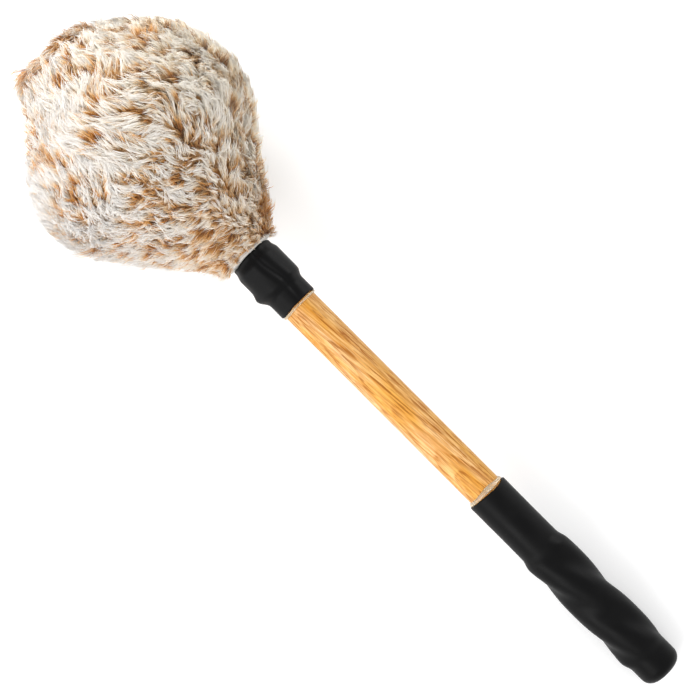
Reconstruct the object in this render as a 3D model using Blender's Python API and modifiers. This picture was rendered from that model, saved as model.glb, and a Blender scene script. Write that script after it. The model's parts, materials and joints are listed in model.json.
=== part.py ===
"""A gong mallet: an oak shaft with a twisted sleeve grip and a padded, fur covered head.

Run it with blender --background --python part.py, or from Blender's text editor.
Every piece is drawn about its own Z axis, which is the axis of the shaft: Z = 0 is the end
of the butt and +Z points to the crown of the head. One empty then lays the mallet down on
the floor, on the belly of the head and the end of the grip. Lengths are in metres.
"""

import math

import bmesh
import bpy
import numpy as np
from mathutils import Matrix, Vector

# Fit between pieces that seat on each other
CLEARANCE = 0.0003

# Shaft
SHAFT_DIAMETER = 0.022
SHAFT_SHOULDER = 0.003          # step from the shaft down to the tenon
TENON_SHORT = 0.002             # how far inside the core the tenon ends
EDGE_BREAK = 0.0008             # small chamfer on turned edges

# Grip
GRIP_LENGTH = 0.148
GRIP_WALL = 0.00195
GRIP_END_ROUND = 0.0065
GRIP_CORD_COUNT = 3
GRIP_CORD_RAISE = 0.0020        # how far a cord lifts the sleeve
GRIP_CORD_START = 0.0210        # from the end of the butt
GRIP_CORD_END = 0.0985
GRIP_CORD_PITCH = 0.140         # length of one full left-handed turn
GRIP_CORD_PHASE = math.radians(9.5)
GRIP_CORD_DRAPE = 0.0050        # length over which the sleeve climbs onto the cords
GRIP_LOBE_FULLNESS = 1.6        # above 1 the lobes are broad and the grooves narrow
GRIP_BEAD_WIDTH = 0.0024

# Collar
COLLAR_START = 0.304            # from the end of the butt
COLLAR_LENGTH = 0.040
COLLAR_WALL = 0.0014
COLLAR_DRAPE = 0.0045           # length over which it climbs onto what it covers
COLLAR_BEAD_WIDTH = 0.0012
BEAD_HEIGHT = 0.0013            # of both beads of glue

# Outline of the head
HEAD_NECK = 0.0413              # from the start of the collar to the mouth of the fur
HEAD_MOUTH_RADIUS = 0.0185
MOUTH_ROUND = 0.0015
HEAD_BELLY = 0.0887             # from the mouth of the fur to the widest place
HEAD_FRONT = 0.0755             # from the widest place to the crown
HEAD_DIAMETER = 0.1476
SHOULDER_RADIUS = 0.0488        # of the outline behind the widest place
BROW_RADIUS = 0.060             # of the outline in front of it
CROWN_RADIUS = 0.014            # of the outline's corner at the crown
CROWN_FLAT = 0.019              # radius of the flat of the crown
REST_DEPTH = 0.002              # how deep the fur is pressed flat under the belly

# Fur cover
FUR_THICKNESS = 0.009
SEAM_SETBACK = 0.0067           # from the crown's corner back to the seam
SEAM_THREAD = 0.001
PILE_ROUND = 0.003
TUFTS_ROUND = 24                # in a row round the belly
TUFT_ROW = 0.0128               # along the head, from one row of tufts to the next
TUFT_DEPTH = 0.0040             # from the top of a tuft down into the gaps round it
TUFT_LEAN = 0.2                 # how far a gap lies towards the tuft before it, in rows
TUFT_SWAY = 0.0023              # how far the tufts stray from even rows
SWAY_WAVES = (5, 7)             # times that they stray round the head: along it and aside
SWAY_TWIST = (-1.7, 2.1)        # by how much that is turned from row to row, in radians
TUFT_WIDTH = 0.009              # where they would be narrower, half as many go round
PRESSED_WIDTH = 0.024           # how far round the pressed belly the pile lies flat
SKIRT_LENGTH = 0.0263           # of the gathered cloth below the fur
SKIRT_THICKNESS = 0.0007

# Neck ties
DRAWSTRING = 0.001
DRAWSTRING_PLACE = 0.003        # from the end of the skirt
KNOT_THICKNESS = 0.0016
KNOT_WIDTH = 0.004
KNOT_LENGTH = 0.003
BINDING_TWINE = 0.0009
BINDING_TURNS = 5
BINDING_PITCH = 0.0021
BINDING_PLACE = 0.0065          # from the end of the skirt

# Inside the head
INNER_COVER_WALL = 0.0008
INNER_NECK_PLACE = 0.0165       # from the mouth of the fur to where the bag opens out
INNER_NECK_LENGTH = 0.008
INNER_TIE = 0.0012
CORE_DIAMETER = 0.048
CORE_LENGTH = 0.056
CORE_CHAMFER = 0.002
FELT_THICKNESS = 0.003
FELT_TURNS = 3
FELT_GAP = 0.0005
FRONT_PAD_THICKNESS = 0.010
WASHER_DIAMETER = 0.030
WASHER_THICKNESS = 0.002
SCREW_DIAMETER = 0.005
SCREW_LENGTH = 0.045
SCREW_POINT = 0.006
SCREW_HEAD_DIAMETER = 0.0095
SCREW_HEAD_HEIGHT = 0.0032
SCREW_HEAD_ROUND = 0.0012
SCREW_RECESS = 0.0014
SCREW_RECESS_DIAMETER = 0.004

# How finely round shapes are divided
FUR_STEPS = 2 * TUFTS_ROUND
OUTLINE_STEPS = 24
HEAD_STEPS = 32
SHAFT_STEPS = 40
SLEEVE_STEPS = 36
SMALL_STEPS = 24
SHARP_ANGLE = math.radians(40)
MERGE = 0.00001
TILT_ROUNDS = 12

# Places and radii that follow from the sizes above
SHAFT_RADIUS = SHAFT_DIAMETER / 2
SEAT_RADIUS = SHAFT_RADIUS + CLEARANCE
GRIP_RADIUS = SEAT_RADIUS + GRIP_WALL
HEAD_RADIUS = HEAD_DIAMETER / 2
MOUTH_Z = COLLAR_START + HEAD_NECK
BELLY_Z = MOUTH_Z + HEAD_BELLY
CROWN_Z = BELLY_Z + HEAD_FRONT
SKIRT_RADIUS = SEAT_RADIUS + SKIRT_THICKNESS
SKIRT_END = MOUTH_Z - SKIRT_LENGTH
TIE_SEAT = SKIRT_RADIUS + CLEARANCE
DRAWSTRING_Z = SKIRT_END + DRAWSTRING_PLACE
BINDING_Z = SKIRT_END + BINDING_PLACE
BINDING_END = BINDING_Z + BINDING_TURNS * BINDING_PITCH
INNER_NECK_Z = MOUTH_Z + INNER_NECK_PLACE
COVER_OFFSET = FUR_THICKNESS + CLEARANCE
PADDING_OFFSET = COVER_OFFSET + INNER_COVER_WALL + CLEARANCE
SEAM_GAP = SEAM_THREAD + 2 * CLEARANCE
CORE_RADIUS = CORE_DIAMETER / 2
CORE_Z = BELLY_Z - CORE_LENGTH / 2
CORE_TOP = CORE_Z + CORE_LENGTH
TENON_RADIUS = SHAFT_RADIUS - SHAFT_SHOULDER
TENON_TOP = CORE_TOP - TENON_SHORT
FELT_STEP = FELT_THICKNESS + FELT_GAP
FELT_RADIUS = CORE_RADIUS + CLEARANCE + FELT_THICKNESS + FELT_TURNS * FELT_STEP
PAD_Z = CORE_TOP + CLEARANCE
PAD_TOP = PAD_Z + FRONT_PAD_THICKNESS
WASHER_TOP = CORE_TOP + CLEARANCE + WASHER_THICKNESS
SCREW_SEAT = WASHER_TOP + CLEARANCE
SCREW_TOP = SCREW_SEAT + SCREW_HEAD_HEIGHT
SCREW_HOLE = SCREW_DIAMETER / 2 + CLEARANCE


def clear_scene():
    """Remove every object that the file holds."""
    for thing in list(bpy.data.objects):
        bpy.data.objects.remove(thing, do_unlink=True)


def make_collection(name):
    """A new collection, linked to the scene."""
    group = bpy.data.collections.new(name)
    bpy.context.scene.collection.children.link(group)
    return group


def make_material(name, colour, roughness, metallic=0.0):
    """A plain Principled material."""
    material = bpy.data.materials.new(name)
    material.use_nodes = True
    shader = material.node_tree.nodes["Principled BSDF"]
    shader.inputs["Base Color"].default_value = (*colour, 1.0)
    shader.inputs["Roughness"].default_value = roughness
    shader.inputs["Metallic"].default_value = metallic
    material.diffuse_color = (*colour, 1.0)
    return material


def add_piece(name, data, material):
    """Put a mesh or a curve in the mallet's collection, on the mallet's axis."""
    piece = bpy.data.objects.new(name, data)
    mallet.objects.link(piece)
    piece.parent = axis
    data.materials.append(material)
    return piece


def settle(piece):
    """Give the piece the shape that its modifiers make, shaded smooth but for its edges."""
    graph = bpy.context.evaluated_depsgraph_get()
    shape = bpy.data.meshes.new_from_object(piece.evaluated_get(graph))
    shape.name = piece.name
    piece.modifiers.clear()
    piece.data = shape
    shape.shade_smooth()
    shape.set_sharp_from_angle(angle=SHARP_ANGLE)


def turned(name, profile, steps, material, ring=False):
    """Turn a profile of (radius, height) points about Z with the Screw modifier.

    The profile runs down its outer side. The last point of a ring joins its first.
    """
    points = [(radius, 0.0, height) for radius, height in profile]
    edges = [(i, i + 1) for i in range(len(points) - 1)]
    if ring:
        edges.append((len(points) - 1, 0))
    mesh = bpy.data.meshes.new(name)
    mesh.from_pydata(points, edges, [])
    piece = add_piece(name, mesh, material)
    screw = piece.modifiers.new("Turn", "SCREW")
    screw.axis = "Z"
    screw.angle = math.tau
    screw.steps = steps
    screw.render_steps = steps
    screw.use_merge_vertices = True
    screw.merge_threshold = MERGE
    return piece


def round_ring(name, radius, height, diameter, steps, material):
    """A ring of round section about Z."""
    section = arc((radius, height), diameter / 2, 0.0, math.tau, 6)[:-1]
    return turned(name, section, steps, material, ring=True)


def combine(piece, other, operation):
    """Join another shape to the piece, or cut it away."""
    change = piece.modifiers.new("Combine", "BOOLEAN")
    change.operation = operation
    change.object = other
    change.solver = "EXACT"


def add_helper(name, shape, parent=None):
    """A shape that only cuts or joins a piece, from a bmesh."""
    mesh = bpy.data.meshes.new(name)
    shape.to_mesh(mesh)
    shape.free()
    helper = bpy.data.objects.new(name, mesh)
    helper.parent = parent
    helper.hide_render = True
    helper.display_type = "WIRE"
    cutters.objects.link(helper)
    return helper


def sleeve(name, heights, radius_at, wall, material, closed_end=False):
    """A shrunk sleeve: rings of radius_at(angles, height), given a wall inwards.

    With closed_end, a flat fan closes the first ring.
    """
    angles = np.linspace(0.0, math.tau, SLEEVE_STEPS, endpoint=False)
    shape = bmesh.new()
    rings = []
    for height in heights:
        radii = radius_at(angles, height)
        places = np.stack([radii * np.cos(angles), radii * np.sin(angles)], axis=1)
        rings.append([shape.verts.new((x, y, height)) for x, y in places])
    for lower, upper in zip(rings, rings[1:]):
        for i in range(SLEEVE_STEPS):
            j = (i + 1) % SLEEVE_STEPS
            shape.faces.new((lower[i], lower[j], upper[j], upper[i]))
    if closed_end:
        pole = shape.verts.new((0.0, 0.0, heights[0]))
        for i in range(SLEEVE_STEPS):
            shape.faces.new((rings[0][(i + 1) % SLEEVE_STEPS], rings[0][i], pole))
    mesh = bpy.data.meshes.new(name)
    shape.to_mesh(mesh)
    shape.free()
    piece = add_piece(name, mesh, material)
    shell = piece.modifiers.new("Wall", "SOLIDIFY")
    shell.thickness = wall
    shell.offset = -1.0
    return piece


def cord(name, points, diameter, material):
    """A round cord along the points: a curve with a bevel and filled caps."""
    curve = bpy.data.curves.new(name, "CURVE")
    curve.dimensions = "3D"
    curve.bevel_depth = diameter / 2
    curve.bevel_resolution = 1
    curve.use_fill_caps = True
    curve.render_resolution_u = 0
    spline = curve.splines.new("POLY")
    spline.points.add(len(points) - 1)
    for place, point in zip(spline.points, points):
        place.co = (*point, 1.0)
    return add_piece(name, curve, material)


def helix(radius, start, end, pitch, phase, steps):
    """Points on a helix about Z. A negative pitch is left-handed."""
    count = max(2, round(abs(end - start) / abs(pitch) * steps)) + 1
    heights = np.linspace(start, end, count)
    angles = phase + (heights - start) / pitch * math.tau
    return np.stack([radius * np.cos(angles), radius * np.sin(angles), heights], axis=1)


def smooth_step(value, start, end):
    """0 before start, 1 after end and an even S between them."""
    share = min(1.0, max(0.0, (value - start) / (end - start)))
    return share * share * (3.0 - 2.0 * share)


def spaced(*stops):
    """Heights from (place, steps to it) pairs, evenly spaced between the places."""
    heights = [stops[0][0]]
    for place, steps in stops[1:]:
        heights.extend(np.linspace(heights[-1], place, steps + 1)[1:])
    return heights


def arc(centre, radius, start, end, steps):
    """Points (radius, height) on an arc. Angle 0 points to the crown, 90 degrees outwards."""
    angles = np.linspace(start, end, steps + 1)
    return [(centre[0] + radius * math.sin(a), centre[1] + radius * math.cos(a)) for a in angles]


def tangent_angle(first, first_radius, second, second_radius):
    """The angle at which one line touches two circles on their outer side."""
    out = second[0] - first[0]
    up = second[1] - first[1]
    lean = math.acos((first_radius - second_radius) / math.hypot(out, up))
    return math.atan2(out, up) + lean


# The head's outline: circles at the crown, brow, shoulder and mouth, and lines that touch them
CROWN_CENTRE = (CROWN_FLAT, CROWN_Z - CROWN_RADIUS)
BROW_CENTRE = (HEAD_RADIUS - BROW_RADIUS, BELLY_Z)
SHOULDER_CENTRE = (HEAD_RADIUS - SHOULDER_RADIUS, BELLY_Z)
MOUTH_CENTRE = (HEAD_MOUTH_RADIUS - MOUTH_ROUND, MOUTH_Z + MOUTH_ROUND)
BROW_ANGLE = tangent_angle(BROW_CENTRE, BROW_RADIUS, CROWN_CENTRE, CROWN_RADIUS)
CONE_ANGLE = tangent_angle(MOUTH_CENTRE, MOUTH_ROUND, SHOULDER_CENTRE, SHOULDER_RADIUS)


def crown_arc(offset):
    """The outline's corner at the crown, set inwards by offset."""
    return arc(CROWN_CENTRE, CROWN_RADIUS - offset, 0.0, BROW_ANGLE, 3)


def belly_arcs(offset, brow_steps=4, shoulder_steps=3):
    """The outline from the brow over the widest place to the cone, set inwards by offset."""
    brow = arc(BROW_CENTRE, BROW_RADIUS - offset, BROW_ANGLE, math.pi / 2, brow_steps)
    shoulder = arc(
        SHOULDER_CENTRE, SHOULDER_RADIUS - offset, math.pi / 2, CONE_ANGLE, shoulder_steps
    )
    return brow + shoulder[1:]


def tuft_rows(start, end):
    """The side panel's outline from start to end, one point for each row of tufts.

    Row 0 lies at the widest place. Returns the points and the numbers of their rows.
    """
    outline = np.array([start, *belly_arcs(0.0, OUTLINE_STEPS, OUTLINE_STEPS), end])
    steps = np.linalg.norm(np.diff(outline, axis=0), axis=1)
    lengths = np.concatenate([[0.0], np.cumsum(steps)]) - steps[:OUTLINE_STEPS + 1].sum()
    first = math.ceil(lengths[0] / TUFT_ROW + 0.5)
    last = math.floor(lengths[-1] / TUFT_ROW - 0.5)
    rows = np.arange(first, last + 1)
    radii = np.interp(rows * TUFT_ROW, lengths, outline[:, 0])
    heights = np.interp(rows * TUFT_ROW, lengths, outline[:, 1])
    return list(zip(radii.tolist(), heights.tolist())), rows.tolist()


def cone_height(offset, radius):
    """The height at which the cone, set inwards by offset, has the given radius."""
    lean = math.sin(CONE_ANGLE)
    rise = math.cos(CONE_ANGLE)
    reach = SHOULDER_CENTRE[0] * lean + SHOULDER_CENTRE[1] * rise + SHOULDER_RADIUS - offset
    return (reach - radius * lean) / rise


def cone_radius(offset, height):
    """The radius of the cone, set inwards by offset, at the given height."""
    lean = math.sin(CONE_ANGLE)
    rise = math.cos(CONE_ANGLE)
    reach = SHOULDER_CENTRE[0] * lean + SHOULDER_CENTRE[1] * rise + SHOULDER_RADIUS - offset
    return (reach - height * rise) / lean


def seam_point(offset, back):
    """A point inside the brow's straight line: back from the crown's corner, offset deep."""
    depth = CROWN_RADIUS - offset
    radius = CROWN_CENTRE[0] + depth * math.sin(BROW_ANGLE) + back * math.cos(BROW_ANGLE)
    height = CROWN_CENTRE[1] + depth * math.cos(BROW_ANGLE) - back * math.sin(BROW_ANGLE)
    return radius, height


def seam_edge(side):
    """A fur panel's rounded edge at the seam, from its surface to the inside of its end.

    side is 1 for the side panel and -1 for the crown panel.
    """
    end = SEAM_SETBACK + side * SEAM_GAP / 2
    points = []
    for turn in np.linspace(math.pi / 2, 0.0, 3):
        back = end + side * PILE_ROUND * (1.0 - math.cos(turn))
        points.append(seam_point(PILE_ROUND * (1.0 - math.sin(turn)), back))
    points.append(seam_point(FUR_THICKNESS, end))
    return points


def butt_arc():
    """The round at the grip's closed end, from its side to its flat."""
    centre = (GRIP_RADIUS - GRIP_END_ROUND, GRIP_END_ROUND)
    return arc(centre, GRIP_END_ROUND, math.pi / 2, math.pi, 4)


def grip_lift(angles, height):
    """How far the cords lift the grip's sleeve: broad lobes that follow the cords."""
    on = smooth_step(height, GRIP_CORD_START - GRIP_CORD_DRAPE, GRIP_CORD_START)
    off = smooth_step(height, GRIP_CORD_END, GRIP_CORD_END + GRIP_CORD_DRAPE)
    cord_angle = GRIP_CORD_PHASE - height / GRIP_CORD_PITCH * math.tau
    away = (1.0 - np.cos(GRIP_CORD_COUNT * (angles - cord_angle))) / 2
    return GRIP_CORD_RAISE * (on - off) * (1.0 - away**GRIP_LOBE_FULLNESS)


def grip_radius(angles, height):
    """The grip's outer radius, with the round at its closed end."""
    inside = max(0.0, GRIP_END_ROUND - height)
    drop = GRIP_END_ROUND - math.sqrt(GRIP_END_ROUND**2 - inside**2)
    return GRIP_RADIUS - drop + grip_lift(angles, height)


def collar_radius(angles, height):
    """The collar's outer radius: it drapes over the skirt, the ties and the knot."""
    onto_skirt = smooth_step(height, SKIRT_END - COLLAR_DRAPE, SKIRT_END - CLEARANCE)
    tie_start = DRAWSTRING_Z - DRAWSTRING / 2 - CLEARANCE
    onto_ties = smooth_step(height, tie_start - COLLAR_DRAPE, tie_start)
    off_ties = smooth_step(height, BINDING_END + BINDING_TWINE, BINDING_END + COLLAR_DRAPE)
    ties = max(DRAWSTRING, BINDING_TWINE) + CLEARANCE
    radius = SEAT_RADIUS + COLLAR_WALL + onto_skirt * (SKIRT_THICKNESS + CLEARANCE)
    radius = radius + (onto_ties - off_ties) * ties
    across = (angles - math.pi / 2) * radius / KNOT_WIDTH
    along = (height - DRAWSTRING_Z) / KNOT_LENGTH
    return radius + max(0.0, KNOT_THICKNESS - DRAWSTRING) * np.exp(-(across**2) - along**2)


def make_shaft():
    """Oak dowel, rounded at the butt, with a tenon for the core and a hole for its screw."""
    hole_end = SCREW_SEAT - SCREW_LENGTH - CLEARANCE
    shoulder = CORE_Z - CLEARANCE
    butt_round = GRIP_END_ROUND - GRIP_WALL - CLEARANCE
    butt_centre = (SHAFT_RADIUS - butt_round, GRIP_END_ROUND)
    profile = [
        (0.0, hole_end),
        (SCREW_HOLE, hole_end),
        (SCREW_HOLE, TENON_TOP),
        (TENON_RADIUS - EDGE_BREAK, TENON_TOP),
        (TENON_RADIUS, TENON_TOP - EDGE_BREAK),
        (TENON_RADIUS, shoulder),
        (SHAFT_RADIUS - EDGE_BREAK, shoulder),
        (SHAFT_RADIUS, shoulder - EDGE_BREAK),
        *arc(butt_centre, butt_round, math.pi / 2, math.pi, 4),
        (0.0, GRIP_WALL + CLEARANCE),
    ]
    turned("shaft", profile, SHAFT_STEPS, OAK)


def make_grip():
    """Cords laid on the shaft, the sleeve shrunk over them and the glue at its end."""
    round_heights = [height for radius, height in reversed(butt_arc())]
    round_heights[0] = 0.0
    heights = round_heights + spaced(
        (GRIP_CORD_START - GRIP_CORD_DRAPE, 0),
        (GRIP_CORD_START, 3),
        (GRIP_CORD_END, 14),
        (GRIP_CORD_END + GRIP_CORD_DRAPE, 3),
        (GRIP_LENGTH, 1),
    )
    sleeve("grip_sleeve", heights, grip_radius, GRIP_WALL, BLACK_SLEEVE, closed_end=True)
    diameter = GRIP_CORD_RAISE - CLEARANCE
    radius = SEAT_RADIUS + diameter / 2
    start_angle = GRIP_CORD_PHASE - GRIP_CORD_START / GRIP_CORD_PITCH * math.tau
    for number in range(GRIP_CORD_COUNT):
        phase = start_angle + number * math.tau / GRIP_CORD_COUNT
        path = helix(radius, GRIP_CORD_START, GRIP_CORD_END, -GRIP_CORD_PITCH, phase, SMALL_STEPS)
        cord(f"grip_cord_{number + 1}", path, diameter, CORD)
    make_bead("grip_adhesive", GRIP_LENGTH + CLEARANCE, GRIP_BEAD_WIDTH)


def make_bead(name, start, width):
    """Glue squeezed out at a sleeve's end. A negative width runs towards the butt."""
    profile = []
    for turn in np.linspace(0.0, math.pi / 2, 4):
        profile.append((SEAT_RADIUS + BEAD_HEIGHT * math.cos(turn), start + width * math.sin(turn)))
    profile.append((SEAT_RADIUS, start))
    if width > 0:
        profile.reverse()
        profile = profile[1:] + profile[:1]
    turned(name, profile, SLEEVE_STEPS, GLUE, ring=True)


def make_collar():
    """The sleeve shrunk over the tied neck of the cover, and the glue at its end."""
    heights = spaced(
        (COLLAR_START, 0),
        (SKIRT_END - COLLAR_DRAPE, 1),
        (SKIRT_END, 2),
        (DRAWSTRING_Z, 2),
        (BINDING_Z, 2),
        (BINDING_END + BINDING_TWINE, 1),
        (BINDING_END + COLLAR_DRAPE, 3),
        (COLLAR_START + COLLAR_LENGTH, 1),
    )
    sleeve("collar_sleeve", heights, collar_radius, COLLAR_WALL, BLACK_SLEEVE)
    make_bead("collar_adhesive", COLLAR_START - CLEARANCE, -COLLAR_BEAD_WIDTH)


def fall_into_tufts(piece, profile, rows, pressed, lean):
    """Draw the pile of a turned panel in between its tufts.

    rows holds the row of each point of the profile that lies on the pile, and None for the
    others. The tufts of one row stand between those of the next: a corner of the pile sinks
    by half of TUFT_DEPTH times 1 less the cosine of the row's half turns times that of the
    angle's turns, and less so round the pressed place. Each face is then folded along its
    deeper diagonal, so that the gaps join up round every tuft.
    """
    settle(piece)
    corners = piece.data.vertices
    flat = np.empty(3 * len(corners))
    corners.foreach_get("co", flat)
    points = flat.reshape(-1, 3)
    radii = np.hypot(points[:, 0], points[:, 1])
    angles = np.arctan2(points[:, 1], points[:, 0])
    profile = np.array(profile)
    section = np.stack([radii, points[:, 2]], axis=1)
    nearest = np.linalg.norm(section[:, None] - profile[None], axis=2).argmin(axis=1)
    row = np.array(rows, dtype=float)[nearest]
    sway_along, sway_aside = (
        np.sin(waves * angles + twist * np.nan_to_num(row))
        for waves, twist in zip(SWAY_WAVES, SWAY_TWIST)
    )
    onward = np.gradient(profile, axis=0)
    onward = (onward / np.linalg.norm(onward, axis=1, keepdims=True))[nearest]
    from_pressed = np.linalg.norm(points - np.array(pressed), axis=1)
    free = 1.0 - np.exp(-((from_pressed / PRESSED_WIDTH) ** 4))
    free[np.isnan(row)] = 0.0
    row = np.nan_to_num(row)
    crowding = np.log2(TUFTS_ROUND * TUFT_WIDTH / (math.tau * np.maximum(radii, MERGE)))
    tufts_round = TUFTS_ROUND / 2 ** np.clip(np.ceil(crowding), 0, 2)
    gap = (1.0 - np.cos(tufts_round * angles) * np.cos(math.pi * row)) / 2
    sink = TUFT_DEPTH * gap * free
    along = (lean * TUFT_ROW * gap + TUFT_SWAY * sway_along) * free
    aside = TUFT_SWAY * sway_aside * free * np.minimum(1.0, radii / TUFT_ROW)
    outwards = sink * onward[:, 1] + along * onward[:, 0]
    points[:, 0] += outwards * np.cos(angles) - aside * np.sin(angles)
    points[:, 1] += outwards * np.sin(angles) + aside * np.cos(angles)
    points[:, 2] += along * onward[:, 1] - sink * onward[:, 0]
    corners.foreach_set("co", flat)
    shape = bmesh.new()
    shape.from_mesh(piece.data)
    for face in list(shape.faces):
        deep = [sink[corner.index] for corner in face.verts]
        if len(deep) == 4 and max(deep) > CLEARANCE:
            first = 0 if deep[0] + deep[2] > deep[1] + deep[3] else 1
            bmesh.utils.face_split(face, face.verts[first], face.verts[first + 2])
    shape.to_mesh(piece.data)
    shape.free()


def make_fur_cover(floor, pressed):
    """Side panel with its skirt, pressed flat under the belly, crown panel and seam thread."""
    edge = list(reversed(seam_edge(1)))
    mouth = arc(MOUTH_CENTRE, MOUTH_ROUND, CONE_ANGLE, math.pi, 2)
    pile, pile_rows = tuft_rows(edge[-1], mouth[0])
    inside = [
        (SKIRT_RADIUS, MOUTH_Z),
        (SKIRT_RADIUS, SKIRT_END),
        (SEAT_RADIUS, SKIRT_END),
        (SEAT_RADIUS, cone_height(FUR_THICKNESS, SEAT_RADIUS)),
        *reversed(belly_arcs(FUR_THICKNESS)),
    ]
    profile = [*edge, *pile, *mouth, *inside]
    rows = [None] * len(edge) + pile_rows + [None] * len(mouth + inside)
    side_panel = turned("fur_side_panel", profile, FUR_STEPS, FUR, ring=True)
    fall_into_tufts(side_panel, profile, rows, pressed, TUFT_LEAN)
    combine(side_panel, floor, "DIFFERENCE")
    pile = [(0.0, CROWN_Z), (CROWN_FLAT / 2, CROWN_Z), *crown_arc(0.0)]
    inside = [*seam_edge(-1), *reversed(crown_arc(FUR_THICKNESS)), (0.0, CROWN_Z - FUR_THICKNESS)]
    steps = np.linalg.norm(np.diff(np.array(pile), axis=0), axis=1)
    pile_rows = [0.0, *(np.cumsum(steps) / TUFT_ROW).tolist()]
    rows = pile_rows + [None] * len(inside)
    crown_panel = turned("fur_crown_panel", pile + inside, FUR_STEPS, FUR)
    fall_into_tufts(crown_panel, pile + inside, rows, pressed, 0.0)
    radius, height = seam_point(FUR_THICKNESS - SEAM_THREAD, SEAM_SETBACK)
    round_ring("crown_seam_thread", radius, height, SEAM_THREAD, FUR_STEPS, THREAD)


def make_neck_ties():
    """The drawstring with its knot, and the twine bound over the gathered skirt."""
    ring_radius = TIE_SEAT + DRAWSTRING / 2
    ring = round_ring(
        "neck_drawstring", ring_radius, DRAWSTRING_Z, DRAWSTRING, SMALL_STEPS, CORD
    )
    size = Matrix.Diagonal((KNOT_WIDTH, KNOT_THICKNESS, KNOT_LENGTH, 1.0))
    place = Matrix.Translation((0.0, TIE_SEAT + KNOT_THICKNESS / 2, DRAWSTRING_Z))
    shape = bmesh.new()
    bmesh.ops.create_uvsphere(
        shape, u_segments=12, v_segments=8, radius=0.5, matrix=place @ size
    )
    knot = add_helper("knot", shape, parent=axis)
    combine(ring, knot, "UNION")
    path = helix(
        TIE_SEAT + BINDING_TWINE / 2, BINDING_Z, BINDING_END, BINDING_PITCH, 0.0, SMALL_STEPS
    )
    cord("neck_binding", path, BINDING_TWINE, CORD)
    print_least_gap("neck_binding", path, BINDING_TWINE)


def print_least_gap(name, path, diameter):
    """Measure and print the least gap between one turn of a winding and the others."""
    steps = np.linalg.norm(path[:, None, :] - path[None, :, :], axis=2)
    order = np.abs(np.arange(len(path))[:, None] - np.arange(len(path))[None, :])
    least = steps[order > SMALL_STEPS // 2].min() - diameter
    print(f"{name}: least gap to itself {least * 1000:.2f} mm")


def make_core():
    """Turned core on the tenon, with the washer and the screw that hold it."""
    bore = TENON_RADIUS + CLEARANCE
    core_profile = [
        (bore, CORE_TOP),
        (CORE_RADIUS - CORE_CHAMFER, CORE_TOP),
        (CORE_RADIUS, CORE_TOP - CORE_CHAMFER),
        (CORE_RADIUS, CORE_Z + CORE_CHAMFER),
        (CORE_RADIUS - CORE_CHAMFER, CORE_Z),
        (bore, CORE_Z),
    ]
    turned("head_core", core_profile, SLEEVE_STEPS, CORE_WOOD, ring=True)
    washer = WASHER_DIAMETER / 2
    bottom = CORE_TOP + CLEARANCE
    washer_profile = [
        (SCREW_HOLE, WASHER_TOP),
        (washer - EDGE_BREAK, WASHER_TOP),
        (washer, WASHER_TOP - EDGE_BREAK),
        (washer, bottom),
        (SCREW_HOLE, bottom),
    ]
    turned("core_washer", washer_profile, SMALL_STEPS, STEEL, ring=True)
    head = SCREW_HEAD_DIAMETER / 2
    shank = SCREW_DIAMETER / 2
    screw_profile = [
        (0.0, SCREW_TOP - SCREW_RECESS),
        (SCREW_RECESS_DIAMETER / 2, SCREW_TOP),
        (head - SCREW_HEAD_ROUND, SCREW_TOP),
        (head, SCREW_TOP - SCREW_HEAD_ROUND),
        (head, SCREW_SEAT),
        (shank, SCREW_SEAT),
        (shank, SCREW_SEAT - SCREW_LENGTH + SCREW_POINT),
        (0.0, SCREW_SEAT - SCREW_LENGTH),
    ]
    turned("core_screw", screw_profile, SMALL_STEPS, STEEL)


def make_felt():
    """A felt strip wound on the core in an even spiral, and the felt disc in front of it."""
    count = FELT_TURNS * SMALL_STEPS + 1
    angles = np.linspace(0.0, FELT_TURNS * math.tau, count)
    first = CORE_RADIUS + CLEARANCE + FELT_THICKNESS / 2
    radii = first + angles / math.tau * FELT_STEP
    shape = bmesh.new()
    lower = []
    upper = []
    for radius, angle in zip(radii, angles):
        x = radius * math.cos(angle)
        y = radius * math.sin(angle)
        lower.append(shape.verts.new((x, y, CORE_Z)))
        upper.append(shape.verts.new((x, y, CORE_TOP)))
    for i in range(count - 1):
        shape.faces.new((lower[i], lower[i + 1], upper[i + 1], upper[i]))
    mesh = bpy.data.meshes.new("felt_wrap")
    shape.to_mesh(mesh)
    shape.free()
    strip = add_piece("felt_wrap", mesh, FELT)
    wall = strip.modifiers.new("Wall", "SOLIDIFY")
    wall.thickness = FELT_THICKNESS
    wall.offset = 0.0
    recess = WASHER_DIAMETER / 2 + CLEARANCE
    pad_profile = [
        (0.0, PAD_TOP),
        (FELT_RADIUS, PAD_TOP),
        (FELT_RADIUS, PAD_Z),
        (recess, PAD_Z),
        (recess, SCREW_TOP + CLEARANCE),
        (0.0, SCREW_TOP + CLEARANCE),
    ]
    turned("front_pad", pad_profile, SLEEVE_STEPS, FELT)


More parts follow.
